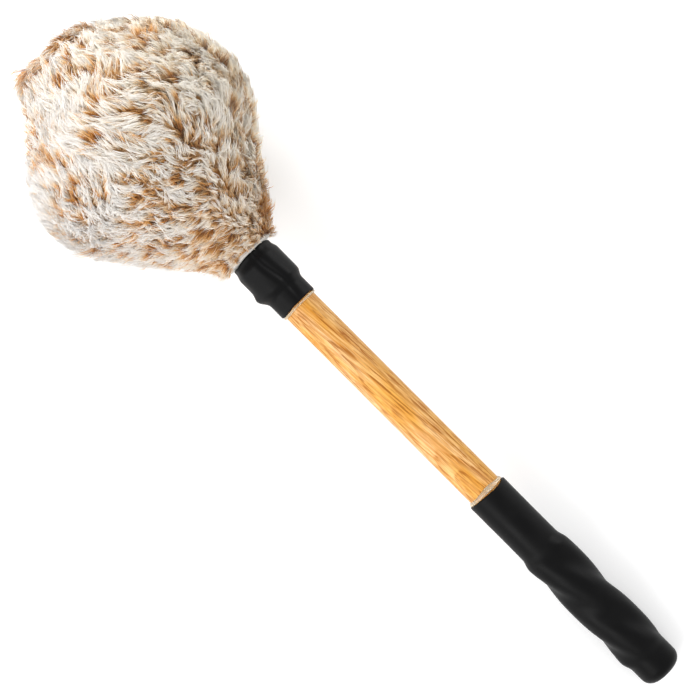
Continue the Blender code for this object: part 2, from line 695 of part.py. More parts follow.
def make_padding():
    """The foam body with the cavity for the core, and the knitted bag and tie around it."""
    cavity = FELT_RADIUS + CLEARANCE
    foot = INNER_NECK_Z + INNER_COVER_WALL + CLEARANCE
    padding_profile = [
        (0.0, CROWN_Z - PADDING_OFFSET),
        *crown_arc(PADDING_OFFSET),
        *belly_arcs(PADDING_OFFSET),
        (cone_radius(PADDING_OFFSET, foot), foot),
        (SEAT_RADIUS, foot),
        (SEAT_RADIUS, CORE_Z - CLEARANCE),
        (cavity, CORE_Z - CLEARANCE),
        (cavity, PAD_TOP + CLEARANCE),
        (0.0, PAD_TOP + CLEARANCE),
    ]
    turned("head_padding", padding_profile, HEAD_STEPS, FOAM)
    inside = COVER_OFFSET + INNER_COVER_WALL
    neck = SEAT_RADIUS + INNER_COVER_WALL
    neck_end = INNER_NECK_Z - INNER_NECK_LENGTH
    floor_inside = INNER_NECK_Z + INNER_COVER_WALL
    bag_profile = [
        (0.0, CROWN_Z - COVER_OFFSET),
        *crown_arc(COVER_OFFSET),
        *belly_arcs(COVER_OFFSET),
        (cone_radius(COVER_OFFSET, INNER_NECK_Z), INNER_NECK_Z),
        (neck, INNER_NECK_Z),
        (neck, neck_end),
        (SEAT_RADIUS, neck_end),
        (SEAT_RADIUS, floor_inside),
        (cone_radius(inside, floor_inside), floor_inside),
        *reversed(belly_arcs(inside)),
        *reversed(crown_arc(inside)),
        (0.0, CROWN_Z - inside),
    ]
    turned("inner_cover", bag_profile, HEAD_STEPS, KNIT)
    tie_radius = neck + CLEARANCE + INNER_TIE / 2
    tie_height = INNER_NECK_Z - INNER_NECK_LENGTH / 2
    round_ring("inner_cover_tie", tie_radius, tie_height, INNER_TIE, SMALL_STEPS, CORD)


def resting():
    """How the mallet lies: the shaft's tilt, the butt's height and the belly's lowest point.

    The floor touches the butt's round and lies REST_DEPTH inside the belly. Both lowest
    points are found again for each new tilt, until it no longer changes.
    """
    head = belly_arcs(0.0, OUTLINE_STEPS, OUTLINE_STEPS)
    butt = butt_arc()
    tilt = 0.0
    for _ in range(TILT_ROUNDS):
        belly_low = max(head, key=lambda p: p[0] * math.cos(tilt) - p[1] * math.sin(tilt))
        butt_low = max(butt, key=lambda p: p[0] * math.cos(tilt) - p[1] * math.sin(tilt))
        drop = (belly_low[0] - butt_low[0]) * math.cos(tilt) - REST_DEPTH
        tilt = math.asin(drop / (belly_low[1] - butt_low[1]))
    height = butt_low[0] * math.cos(tilt) - butt_low[1] * math.sin(tilt)
    print(f"the shaft tilts by {math.degrees(tilt):.4f} degrees")
    return tilt, height, (belly_low[0], 0.0, belly_low[1])


def centre_on_origin():
    """Move the mallet along the floor until its box stands evenly round the origin."""
    lowest = []
    highest = []
    for piece in mallet.objects:
        if piece.type != "MESH":
            continue
        flat = np.empty(3 * len(piece.data.vertices))
        piece.data.vertices.foreach_get("co", flat)
        turn = np.array(piece.matrix_world.to_3x3())
        points = flat.reshape(-1, 3) @ turn.T + np.array(piece.matrix_world.translation)
        lowest.append(points.min(axis=0))
        highest.append(points.max(axis=0))
    low = np.min(lowest, axis=0)
    high = np.max(highest, axis=0)
    axis.location.x -= (low[0] + high[0]) / 2
    axis.location.y -= (low[1] + high[1]) / 2
    bpy.context.view_layer.update()
    print("the mallet measures", ", ".join(f"{1000 * size:.2f} mm" for size in high - low))


def make_floor_cutter():
    """A block with its top on the floor, which presses the belly flat."""
    shape = bmesh.new()
    bmesh.ops.create_cube(shape, size=2 * HEAD_DIAMETER)
    bmesh.ops.translate(shape, verts=shape.verts, vec=Vector((0.0, 0.0, -HEAD_DIAMETER)))
    block = add_helper("floor_cutter", shape)
    block.location = axis.matrix_world @ Vector((0.0, 0.0, BELLY_Z))
    block.location.z = 0.0
    return block


clear_scene()
mallet = make_collection("gong_mallet")
cutters = make_collection("cutters")

OAK = make_material("oak", (0.72, 0.44, 0.17), 0.5)
BLACK_SLEEVE = make_material("black_sleeve", (0.012, 0.012, 0.013), 0.42)
GLUE = make_material("clear_glue", (0.72, 0.62, 0.42), 0.3)
FUR = make_material("fur", (0.70, 0.62, 0.54), 0.9)
CORD = make_material("cotton_cord", (0.62, 0.58, 0.50), 0.9)
THREAD = make_material("seam_thread", (0.10, 0.06, 0.04), 0.9)
KNIT = make_material("knitted_cotton", (0.78, 0.75, 0.70), 0.9)
FOAM = make_material("foam", (0.75, 0.70, 0.48), 0.95)
FELT = make_material("wool_felt", (0.42, 0.40, 0.38), 0.95)
CORE_WOOD = make_material("core_wood", (0.55, 0.36, 0.20), 0.6)
STEEL = make_material("zinc_steel", (0.60, 0.60, 0.62), 0.35, 1.0)

tilt, butt_height, belly_low = resting()
axis = bpy.data.objects.new("mallet_axis", None)
mallet.objects.link(axis)
axis.location.z = butt_height
axis.rotation_euler = (0.0, math.pi / 2 - tilt, 0.0)
bpy.context.view_layer.update()

floor_cutter = make_floor_cutter()
make_shaft()
make_grip()
make_collar()
make_fur_cover(floor_cutter, belly_low)
make_neck_ties()
make_core()
make_felt()
make_padding()
bpy.context.view_layer.update()
for made in list(mallet.objects):
    if made.type == "MESH":
        settle(made)
centre_on_origin()
belly_place = axis.matrix_world @ Vector(belly_low)
butt_place = axis.matrix_world.translation
print(f"the belly rests at x = {belly_place.x:.6f} m, y = {belly_place.y:.6f} m")
print(f"the butt ends at x = {butt_place.x:.6f} m, z = {butt_place.z:.6f} m")
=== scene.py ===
# %% [markdown]
# # Dressing a gong mallet
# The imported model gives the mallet's construction: an oak shaft, two black shrunk sleeves and a head
# of padding in a fur cover. This lesson gives each of them the surface that the real one has. Every
# piece is worked out in the mallet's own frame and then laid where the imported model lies.

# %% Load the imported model
import json
import math

import bpy
import numpy as np
from mathutils import Matrix


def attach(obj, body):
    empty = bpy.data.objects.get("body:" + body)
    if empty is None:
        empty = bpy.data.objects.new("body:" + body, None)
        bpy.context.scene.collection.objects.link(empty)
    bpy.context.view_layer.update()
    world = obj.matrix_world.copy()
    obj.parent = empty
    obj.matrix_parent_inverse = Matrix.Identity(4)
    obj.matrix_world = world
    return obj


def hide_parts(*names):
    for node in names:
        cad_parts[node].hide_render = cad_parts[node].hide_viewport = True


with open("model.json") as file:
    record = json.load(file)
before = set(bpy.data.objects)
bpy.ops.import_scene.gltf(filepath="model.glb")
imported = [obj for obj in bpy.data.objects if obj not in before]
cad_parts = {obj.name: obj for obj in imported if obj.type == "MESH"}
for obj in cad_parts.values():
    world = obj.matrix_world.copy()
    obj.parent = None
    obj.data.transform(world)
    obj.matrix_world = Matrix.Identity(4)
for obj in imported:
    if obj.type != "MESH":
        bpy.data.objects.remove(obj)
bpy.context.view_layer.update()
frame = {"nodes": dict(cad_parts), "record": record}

record = frame["record"]
nodes = frame["nodes"]
print("nodes:", ", ".join(sorted(nodes)))

# %% [markdown]
# ## The mallet's own frame
# The mallet lies tilted on its head. It is easier to think of it upright: a place on it is a radius,
# an angle about the shaft and a distance from the butt. The mount at the butt gives the origin and
# the direction of the shaft, and angle 0 is the underside, 90 degrees the side of +Y.

# %% Radius, angle and distance from the butt to world points
butt_mount = next(m for m in record["mounts"] if m["name"] == "butt_end")
BUTT = np.array(butt_mount["pos_m"])
ALONG = -np.array(butt_mount["axis"]) / np.linalg.norm(butt_mount["axis"])
SIDE = np.array([0.0, 1.0, 0.0])
UNDER = np.cross(SIDE, ALONG)
TILT = math.asin(ALONG[2])
MM = 0.001
TURN = math.tau


def around(radius, angle, along):
    """World points: radius times (cos, sin) of the angle on UNDER and SIDE, plus along on ALONG."""
    radius, angle, along = np.broadcast_arrays(radius, angle, along)
    under = (radius * np.cos(angle))[..., None] * UNDER
    side = (radius * np.sin(angle))[..., None] * SIDE
    return BUTT + under + side + along[..., None] * ALONG


def measured(node):
    """A CAD node's lowest and highest place along the shaft, and its greatest radius."""
    corners = nodes[node].data.vertices
    flat = np.empty(len(corners) * 3, np.float32)
    corners.foreach_get("co", flat)
    points = flat.reshape(-1, 3) - BUTT
    along = points @ ALONG
    radius = np.hypot(points @ UNDER, points @ SIDE)
    return along.min(), along.max(), radius.max()


print(f"the shaft is tilted by {math.degrees(TILT):.2f} degrees")

# %% [markdown]
# ## Objects in the scene
# The mallet's pieces keep their place in their mesh, so their objects stay at the origin. Only the
# camera and the lamps are moved and turned, each by one matrix made of three directions and a place.

# %% Objects and how they stand


def add_object(name, data):
    """A new object at the origin, linked to the scene."""
    made = bpy.data.objects.new(name, data)
    bpy.context.scene.collection.objects.link(made)
    return made


def stand(made, right, up, back, place):
    """Put a camera or lamp at a place, with its own X, Y and Z along right, up and back."""
    pose = np.eye(4)
    pose[:3, :3] = np.stack([right, up, back], axis=1)
    pose[:3, 3] = place
    made.matrix_world = Matrix(pose.tolist())


# %% [markdown]
# ## The camera
# The mallet is seen square to its shaft, from above, with the head at the upper left and the butt at
# the lower right. A long lens a little over a metre away keeps the two ends alike in scale. The
# picture's scale comes from the width of the shaft in it.

# %% Place the camera
PICTURE_SIDE = 700
MM_PER_PIXEL = 0.585
SHAFT_ROLL = math.radians(45.07)         # of the shaft below the picture's horizontal
MIDDLE_ALONG = 263.6 * MM                # what the middle of the picture shows
MIDDLE_SIDE = -2.2 * MM
LENS = 100.0
SENSOR = 36.0

view_width = PICTURE_SIDE * MM_PER_PIXEL * MM
camera_distance = view_width * LENS / SENSOR
picture_right = -math.cos(SHAFT_ROLL) * ALONG - math.sin(SHAFT_ROLL) * SIDE
picture_up = math.sin(SHAFT_ROLL) * ALONG - math.cos(SHAFT_ROLL) * SIDE
camera_place = BUTT + MIDDLE_ALONG * ALONG + MIDDLE_SIDE * SIDE - camera_distance * UNDER

camera_data = bpy.data.cameras.new("camera")
camera_data.lens = LENS
camera_data.sensor_width = SENSOR
camera = add_object("camera", camera_data)
stand(camera, picture_right, picture_up, -UNDER, camera_place)
bpy.context.scene.camera = camera
print(f"camera {camera_distance:.3f} m from the shaft")

# %% [markdown]
# ## Meshes from arrays
# Every new piece is a grid of points: rows along the shaft and columns round it. The faces of such a
# grid follow one pattern, so they are computed as whole arrays too and handed to Blender at once.

# %% Grids and meshes


def build_mesh(name, points, *face_sets):
    """A smooth mesh from points (n, 3) and arrays of faces with 3 or 4 corners each."""
    sizes = np.concatenate([np.full(len(faces), faces.shape[1]) for faces in face_sets])
    corners = np.concatenate([faces.ravel() for faces in face_sets])
    mesh = bpy.data.meshes.new(name)
    mesh.vertices.add(len(points))
    mesh.vertices.foreach_set("co", points.astype(np.float32).ravel())
    mesh.loops.add(len(corners))
    mesh.loops.foreach_set("vertex_index", corners.astype(np.int32))
    mesh.polygons.add(len(sizes))
    mesh.polygons.foreach_set("loop_start", (np.cumsum(sizes) - sizes).astype(np.int32))
    mesh.update(calc_edges=True)
    mesh.shade_smooth()
    return mesh


def add_piece(name, mesh, material):
    """An object at the origin that rides on the mallet's one body."""
    mesh.materials.append(material)
    piece = add_object(name, mesh)
    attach(piece, "root")
    print(f"{name}: {len(mesh.vertices)} corners, {len(mesh.polygons)} faces")
    return piece


def round_angles(sides):
    """Angles evenly round the shaft, as one row."""
    return np.linspace(0.0, TURN, sides, endpoint=False)[None, :]


def grid_faces(rows, columns, ring=False):
    """Four-cornered faces of a grid that closes round its columns, and in a ring its rows."""
    row = np.arange(rows if ring else rows - 1)[:, None]
    column = np.arange(columns)[None, :]
    right = (column + 1) % columns
    above = (row + 1) % rows
    corners = (row * columns + column, row * columns + right,
               above * columns + right, above * columns + column)
    return np.stack(np.broadcast_arrays(*corners), axis=-1).reshape(-1, 4)


def shell_mesh(name, grid, poles=None):
    """A closed shell from a grid (rows, columns, 3).

    Without poles the last row joins the first. With two poles, fans close both ends.
    """
    rows, columns = grid.shape[:2]
    points = grid.reshape(-1, 3)
    if poles is None:
        return build_mesh(name, points, grid_faces(rows, columns, ring=True))
    column = np.arange(columns)
    right = (column + 1) % columns
    pole = np.full(columns, len(points))
    first = np.stack([right, column, pole], axis=1)
    last_row = (rows - 1) * columns
    last = np.stack([last_row + column, last_row + right, pole + 1], axis=1)
    points = np.concatenate([points, np.asarray(poles)])
    return build_mesh(name, points, grid_faces(rows, columns), np.concatenate([first, last]))


def add_shell(name, grid, material, poles=None):
    """A piece that is one closed shell."""
    return add_piece(name, shell_mesh(name, grid, poles), material)


def smooth_step(value, start, end):
    """0 before start, 1 after end and an even S between them: 3 t squared less 2 t cubed."""
    share = np.clip((value - start) / (end - start), 0.0, 1.0)
    return share * share * (3.0 - 2.0 * share)


def unit(vectors):
    """The same directions, each with a length of 1."""
    return vectors / np.maximum(np.linalg.norm(vectors, axis=-1, keepdims=True), 1e-9)


WAVE_COUNT = 14


def waves(points, size, seed):
    """Smooth noise of about unit height: the sum of sine waves in random directions.

    Their lengths lie round size, in metres.
    """
    random = np.random.default_rng(seed)
    heading = unit(random.normal(size=(WAVE_COUNT, 3)))
    length = size * random.uniform(0.7, 1.5, WAVE_COUNT)
    phase = random.uniform(0.0, TURN, WAVE_COUNT)
    total = np.sin(points @ (heading.T * TURN / length) + phase).sum(axis=-1)
    return total / math.sqrt(WAVE_COUNT / 2)


def layered(points, *layers):
    """The sum of several waves, each given by its height, size and seed."""
    return sum(height * waves(points, size, seed) for height, size, seed in layers)


# %% [markdown]
# ## Building materials with nodes
# A few helpers keep each material short: they add a node, set its plain values and join its sockets.
# A pattern that must follow the shaft reads Object coordinates through a Mapping node, which turns
# them into the mallet's own frame.

# %% Node helpers


def join(tree, socket, value):
    """Set a socket to a value, or link it to another socket."""
    if isinstance(value, bpy.types.NodeSocket):
        tree.links.new(value, socket)
    elif hasattr(value, "__len__") and len(value) == 3 and socket.type == "RGBA":
        socket.default_value = (*value, 1.0)
    else:
        socket.default_value = value


def connect(tree, sockets, values):
    """Set or link several sockets, by name or number."""
    for key, value in dict(values).items():
        join(tree, sockets[key], value)


def node(tree, kind, inputs=(), **settings):
    """A new node with its settings, and its inputs by name or number."""
    made = tree.nodes.new(kind)
    for key, value in settings.items():
        setattr(made, key, value)
    connect(tree, made.inputs, inputs)
    return made


def calculate(tree, operation, first, second=0.0):
    """One Math node."""
    return node(tree, "ShaderNodeMath", {0: first, 1: second}, operation=operation).outputs[0]


def noise(tree, vector, scale, detail=3.0, roughness=0.5, distortion=0.0):
    """The height of a Noise texture."""
    inputs = {"Vector": vector, "Scale": scale, "Detail": detail,
              "Roughness": roughness, "Distortion": distortion}
    return node(tree, "ShaderNodeTexNoise", inputs).outputs[0]


def stretch(tree, vector, scale):
    """Coordinates with each axis scaled."""
    return node(tree, "ShaderNodeMapping", {"Vector": vector, "Scale": scale}).outputs[0]


def blend(tree, factor, first, second, mode="MIX"):
    """A Mix node for colours."""
    inputs = {0: factor, 6: first, 7: second}
    return node(tree, "ShaderNodeMix", inputs, data_type="RGBA", blend_type=mode).outputs[2]


def steps(tree, factor, *stops):
    """A Color Ramp with (position, colour) stops."""
    made = node(tree, "ShaderNodeValToRGB", {0: factor})
    ramp = made.color_ramp
    while len(ramp.elements) < len(stops):
        ramp.elements.new(0.5)
    for element, (position, colour) in zip(ramp.elements, stops):
        element.position = position
        element.color = (*colour, 1.0)
    return made.outputs[0]


def remap(tree, value, low, high, to_low=0.0, to_high=1.0):
    """A Map Range node that keeps to its limits."""
    inputs = {"Value": value, "From Min": low, "From Max": high, "To Min": to_low, "To Max": to_high}
    return node(tree, "ShaderNodeMapRange", inputs).outputs[0]


def bump(tree, height, distance, strength):
    """A Bump node: height 1 stands distance metres proud."""
    inputs = {"Height": height, "Distance": distance, "Strength": strength}
    return node(tree, "ShaderNodeBump", inputs).outputs[0]


def new_material(name):
    """A material with its Principled shader."""
    material = bpy.data.materials.new(name)
    material.use_nodes = True
    tree = material.node_tree
    print("material", name)
    return material, tree, tree.nodes["Principled BSDF"]


def shaft_coordinates(tree):
    """Object coordinates in the mallet's own frame: X under it, Y beside it, Z along the shaft."""
    place = node(tree, "ShaderNodeTexCoord").outputs["Object"]
    inputs = {"Vector": place, "Location": BUTT, "Rotation": (0.0, math.pi / 2 - TILT, 0.0)}
    return node(tree, "ShaderNodeMapping", inputs, vector_type="TEXTURE").outputs[0]


def new_group(name, inputs, outputs):
    """An empty shader group with named inputs (type, value) and outputs (type)."""
    tree = bpy.data.node_groups.new(name, "ShaderNodeTree")
    for label, (kind, value) in inputs.items():
        socket = tree.interface.new_socket(label, in_out="INPUT", socket_type=f"NodeSocket{kind}")
        if value is not None:
            socket.default_value = value
    for label, kind in outputs.items():
        tree.interface.new_socket(label, in_out="OUTPUT", socket_type=f"NodeSocket{kind}")
    return tree, tree.nodes.new("NodeGroupInput").outputs, tree.nodes.new("NodeGroupOutput").inputs


def use_group(tree, group, **inputs):
    """Place a group in a material. Its inputs' names have spaces where these have underscores."""
    made = tree.nodes.new("ShaderNodeGroup")
    made.node_tree = group
    connect(tree, made.inputs, {key.replace("_", " "): value for key, value in inputs.items()})
    return made.outputs


# %% [markdown]
# ## Wood grain
# A dowel is cut out of a board, so its surface cuts through the tree's rings at a slant and shows
# long pointed arches on one side and close, nearly parallel lines on the other. The group computes
# rings round a far-off heart of the tree, whose axis is slanted away from the shaft's and leans to one
# side. Oak also has open pores: short dark dashes along the grain, closest in a ring's early wood.

# %% The wood grain group
HEART_BELOW = 34.0 * MM                  # from the shaft's axis to the heart of the tree
HEART_ASIDE = 24.0 * MM
BEND_SCALE = (70.0, 70.0, 10.0)          # scales of noise under, beside and along the shaft
PORE_SCALE = (1150.0, 1150.0, 50.0)
FIBRE_SCALE = (980.0, 980.0, 34.0)
BEND_DEPTH = 8.0 * MM                    # how far the noise bends the rings
EARLY_END = 0.60                         # shares of a ring's width
LATE_START = 0.90
PORE_EDGE = (0.50, 0.55)                 # heights of the noise at which a pore starts and is full
PORES_IN_LATE = 0.40                     # how much of the pores is left in the late wood
# fewer pores towards +Y leave the far side darker: partly closer grain, partly painted shade
PORES_ASIDE = 0.70                       # and on the side towards +Y
ASIDE_FADE = (-9.0 * MM, 6.0 * MM)       # across the shaft, where the pores fade to that side

wood_grain, given, out = new_group(
    "wood_grain",
    {"Vector": ("Vector", None), "Ring Width": ("Float", 0.003), "Slant": ("Float", 0.05),
     "Lean": ("Float", 0.08)},
    {"Rings": "Float", "Pores": "Float", "Fibres": "Float", "Height": "Float"},
)


def in_wood(operation, first, second=0.0):
    """One Math node of the wood grain."""
    return calculate(wood_grain, operation, first, second)


def wood_noise(scale, detail, roughness=0.5):
    """Noise that is drawn out along the grain."""
    return noise(wood_grain, stretch(wood_grain, grain_place, scale), 1.0, detail, roughness)


below, aside, onward = node(wood_grain, "ShaderNodeSeparateXYZ", {0: given["Vector"]}).outputs
leant = in_wood("SUBTRACT", aside, in_wood("MULTIPLY", onward, given["Lean"]))
grain_place = node(wood_grain, "ShaderNodeCombineXYZ", {0: below, 1: leant, 2: onward}).outputs[0]
swing = in_wood("MULTIPLY", in_wood("SUBTRACT", wood_noise(BEND_SCALE, 2.0), 0.5), BEND_DEPTH)
drift = in_wood("MULTIPLY", onward, given["Slant"])
heart_below = in_wood("SUBTRACT", in_wood("ADD", in_wood("ADD", below, drift), swing), HEART_BELOW)
heart_aside = in_wood("ADD", leant, HEART_ASIDE)
from_heart = node(wood_grain, "ShaderNodeCombineXYZ", {0: heart_below, 1: heart_aside}).outputs[0]
reach = node(wood_grain, "ShaderNodeVectorMath", {0: from_heart}, operation="LENGTH").outputs["Value"]
phase = in_wood("FRACT", in_wood("DIVIDE", reach, given["Ring Width"]))
early = remap(wood_grain, phase, 0.0, EARLY_END, 1.0, 0.0)
late = remap(wood_grain, phase, LATE_START, 1.0)
rings = in_wood("MAXIMUM", in_wood("POWER", early, 1.5), late)
pores = remap(wood_grain, wood_noise(PORE_SCALE, 2.0), *PORE_EDGE)
pores = in_wood("MULTIPLY", pores, remap(wood_grain, rings, 0.0, 0.7, PORES_IN_LATE, 1.0))
# the pores thin out towards +Y, so the far side is darker: partly closer grain, partly painted shade
pores = in_wood("MULTIPLY", pores, remap(wood_grain, aside, *ASIDE_FADE, 1.0, PORES_ASIDE))
fibres = wood_noise(FIBRE_SCALE, 4.0, 0.65)
depth = in_wood("SUBTRACT", in_wood("MULTIPLY", fibres, 0.3), pores)
connect(wood_grain, out, {"Rings": rings, "Pores": pores, "Fibres": fibres, "Height": depth})
print("wood grain:", len(wood_grain.nodes), "nodes")

# %% [markdown]
# ## Oak under a thin satin varnish
# Pale gold wood with darker, warmer rings. The pores are brown and slightly sunk, and a thin coat of
# varnish gives a faint broad shine. On the side away from +Y, away from the lamps, the wood is painted
# a darker, more olive brown: partly the closer grain where the rings are cut square, partly painted
# shade.

# %% The oak material
OAK_PALE = (0.84, 0.440, 0.088)
OAK_RING = (0.58, 0.205, 0.012)
OAK_PORE = (0.32, 0.092, 0.003)
OAK_CLOUD = (0.94, 0.63, 0.33)
# olive brown for the side away from +Y: partly close grain, partly painted shade
OAK_CLOSE_AND_SHADE = (0.42, 0.235, 0.045)

CLOUD_SCALE = (85.0, 85.0, 17.0)
CLOUD_SHARE = 0.70                       # how far each mark covers the colour under it
RING_SHARE = 0.52
STREAK_SHARE = 0.62
CLOSE_AND_SHADE_SHARE = 0.62
PORE_SHARE = 0.95
CLOSE_AND_SHADE_SIDE = (-11.0 * MM, -2.0 * MM)     # across the shaft, from full to none
GRAIN_DEPTH = 0.08 * MM


def make_oak(name, pale, cloudy, ring, pore, close_and_shade, ring_width, slant):
    """Wood with its own colours, ring width and slant of the grain, laid on mark by mark."""
    material, tree, shader = new_material(name)
    place = shaft_coordinates(tree)
    grain = use_group(tree, wood_grain, Vector=place, Ring_Width=ring_width, Slant=slant)
    clouds = remap(tree, noise(tree, stretch(tree, place, CLOUD_SCALE), 1.0), 0.44, 0.62)
    streaks = remap(tree, grain["Fibres"], 0.47, 0.54)
    aside = node(tree, "ShaderNodeSeparateXYZ", {0: place}).outputs[1]
    # darker towards the side away from +Y: partly closer grain, partly painted shade on the side away
    # from the lamps
    far_side = remap(tree, aside, *CLOSE_AND_SHADE_SIDE, 1.0, 0.0)
    marks = (
        (clouds, CLOUD_SHARE, cloudy),
        (grain["Rings"], RING_SHARE, ring),
        (streaks, STREAK_SHARE, ring),
        (far_side, CLOSE_AND_SHADE_SHARE, close_and_shade),
        (grain["Pores"], PORE_SHARE, pore),
    )
    colour = pale
    for mask, share, mark in marks:
        colour = blend(tree, calculate(tree, "MULTIPLY", mask, share), colour, mark)
    connect(tree, shader.inputs, {
        "Base Color": colour,
        "Roughness": remap(tree, grain["Pores"], 0.0, 1.0, 0.42, 0.62),
        "Specular IOR Level": 0.22,
        "Coat Weight": 0.06,
        "Coat Roughness": 0.25,
        "Normal": bump(tree, grain["Height"], GRAIN_DEPTH, 0.8),
    })
    return material


OAK = make_oak("oak", OAK_PALE, OAK_CLOUD, OAK_RING, OAK_PORE, OAK_CLOSE_AND_SHADE,
               ring_width=0.0019, slant=0.050)

# %% [markdown]
# ## The bare shaft
# A dowel is turned, so its surface is a profile carried round the axis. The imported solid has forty
# flat sides. This one has many more, so that a highlight runs along it without bands. Its length and
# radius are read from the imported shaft, and its inner end is a tenon with the hole for a screw.

# %% Turn the shaft
SHAFT_SIDES = 160
CLEARANCE = 0.3 * MM
BUTT_ROUND = 4.25 * MM
TENON_STEP = 3.0 * MM
TENON_LENGTH = 54.3 * MM
SCREW_HOLE = 2.8 * MM
SCREW_DEPTH = 43.0 * MM
EDGE_BREAK = 0.8 * MM
SHARP_ANGLE = math.radians(40)

shaft_start, shaft_end, SHAFT_RADIUS = measured("shaft")
SEAT_RADIUS = SHAFT_RADIUS + CLEARANCE


def arc(centre, radius, start, end, count):
    """(radius, place) points on an arc. Angle 0 points to the crown and 90 degrees outwards."""
    angles = np.linspace(start, end, count)
    return np.array(centre) + radius * np.stack([np.sin(angles), np.cos(angles)], axis=1)


def line(start, end, count):
    """Points evenly along a line, without its first."""
    return np.linspace(start, end, count + 1)[1:]


def turned_grid(profile, sides):
    """A profile of (radius, place) points carried round the shaft's axis."""
    return around(profile[:, :1], round_angles(sides), profile[:, 1:])


def make_shaft():
    """The profile runs from the butt over the outside to the tenon and down the screw's hole."""
    shoulder = shaft_end - TENON_LENGTH
    tenon = SHAFT_RADIUS - TENON_STEP
    rounded = (SHAFT_RADIUS - BUTT_ROUND, shaft_start + BUTT_ROUND)
    outside = arc(rounded, BUTT_ROUND, math.pi * 0.98, math.pi / 2, 12)
    profile = np.concatenate([
        outside,
        line(outside[-1], (SHAFT_RADIUS, shoulder - EDGE_BREAK), 60),
        [(SHAFT_RADIUS - EDGE_BREAK, shoulder), (tenon, shoulder),
         (tenon, shaft_end - EDGE_BREAK), (tenon - EDGE_BREAK, shaft_end),
         (SCREW_HOLE, shaft_end), (SCREW_HOLE, shaft_end - SCREW_DEPTH)],
    ])
    poles = around(0.0, 0.0, np.array([shaft_start, shaft_end - SCREW_DEPTH]))
    mesh = shell_mesh("oak_shaft", turned_grid(profile, SHAFT_SIDES), poles)
    mesh.set_sharp_from_angle(angle=SHARP_ANGLE)
    piece = add_piece("oak_shaft", mesh, OAK)
    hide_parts("shaft")


make_shaft()

# %% [markdown]
# ## Black shrunk sleeve
# Both sleeves are heat-shrunk polymer: nearly black, with a dull shine that spreads widely. A fine
# pebble and faint, broad unevenness from the heat break up the highlight.

# %% The sleeve material
mottle, given, out = new_group(
    "mottle",
    {"Vector": ("Vector", None), "Scale": ("Float", 100.0)},
    {"Broad": "Float", "Fine": "Float"},
)
fine_scale = calculate(mottle, "MULTIPLY", given["Scale"], 22.0)
connect(mottle, out, {
    "Broad": noise(mottle, given["Vector"], given["Scale"], 3.0, 0.55),
    "Fine": noise(mottle, given["Vector"], fine_scale, 2.0, 0.6),
})


SLEEVE_BLACK = (0.0016, 0.0016, 0.0018)
SLEEVE_DUST = (0.0034, 0.0034, 0.0036)
PEBBLE_DEPTH = 0.08 * MM


def make_sleeve_material(name):
    """Matt black polymer with a fine pebble, broad patches of dust and uneven shine."""
    material, tree, shader = new_material(name)
    place = shaft_coordinates(tree)
    pattern = use_group(tree, mottle, Vector=place, Scale=70.0)
    dust = remap(tree, pattern["Broad"], 0.45, 0.75)
    height = calculate(tree, "MULTIPLY", pattern["Fine"], 0.35)
    connect(tree, shader.inputs, {
        "Base Color": blend(tree, dust, SLEEVE_BLACK, SLEEVE_DUST),
        "Roughness": remap(tree, pattern["Broad"], 0.3, 0.7, 0.40, 0.50),
        "Specular IOR Level": 0.10,
        "Normal": bump(tree, height, PEBBLE_DEPTH, 0.5),
    })
    return material


SLEEVE = make_sleeve_material("black_sleeve")

# %% [markdown]
# ## The grip
# Three cords wind along the shaft under the sleeve, and the sleeve shrinks over them into three broad
# twisted lobes. The lift at an angle is the cords' height times one less a power of a raised cosine,
# which makes the lobes full and the grooves between them narrow. The sleeve has a wall, so the grid
# goes along its outside, over its lip and back along its inside.

# %% Form the grip's sleeve
GRIP_SIDES = 168
GRIP_WALL = 1.95 * MM
GRIP_END_ROUND = 6.5 * MM
CORD_COUNT = 3
CORD_RAISE = 2.0 * MM
CORD_START = 21.0 * MM
CORD_END = 98.5 * MM
CORD_PITCH = 140.0 * MM
CORD_PHASE = math.radians(9.5)
CORD_DRAPE = 7.0 * MM
LOBE_FULLNESS = 1.6
OUT_OF_ROUND = 0.06 * MM
LIP_ROUND = 0.5 * MM
SLIP_LENGTH = 14.0 * MM                  # over which the lip's waver fades out

grip_end = measured("grip_sleeve")[1]
GRIP_RADIUS = SEAT_RADIUS + GRIP_WALL


def grip_radius(angle, along):
    """The plain radius, drawn in round the butt, plus the lobes between the cords' ends."""
    on = smooth_step(along, CORD_START - CORD_DRAPE, CORD_START + 1.0 * MM)
    off = smooth_step(along, CORD_END - 1.0 * MM, CORD_END + CORD_DRAPE)
    cord_angle = CORD_PHASE - along / CORD_PITCH * TURN
    away = (1.0 - np.cos(CORD_COUNT * (angle - cord_angle))) / 2
    lift = CORD_RAISE * (on - off) * (1.0 - away**LOBE_FULLNESS)
    inside = np.clip(GRIP_END_ROUND - along, 0.0, GRIP_END_ROUND)
    drop = GRIP_END_ROUND - np.sqrt(GRIP_END_ROUND**2 - inside**2)
    return GRIP_RADIUS - drop + lift


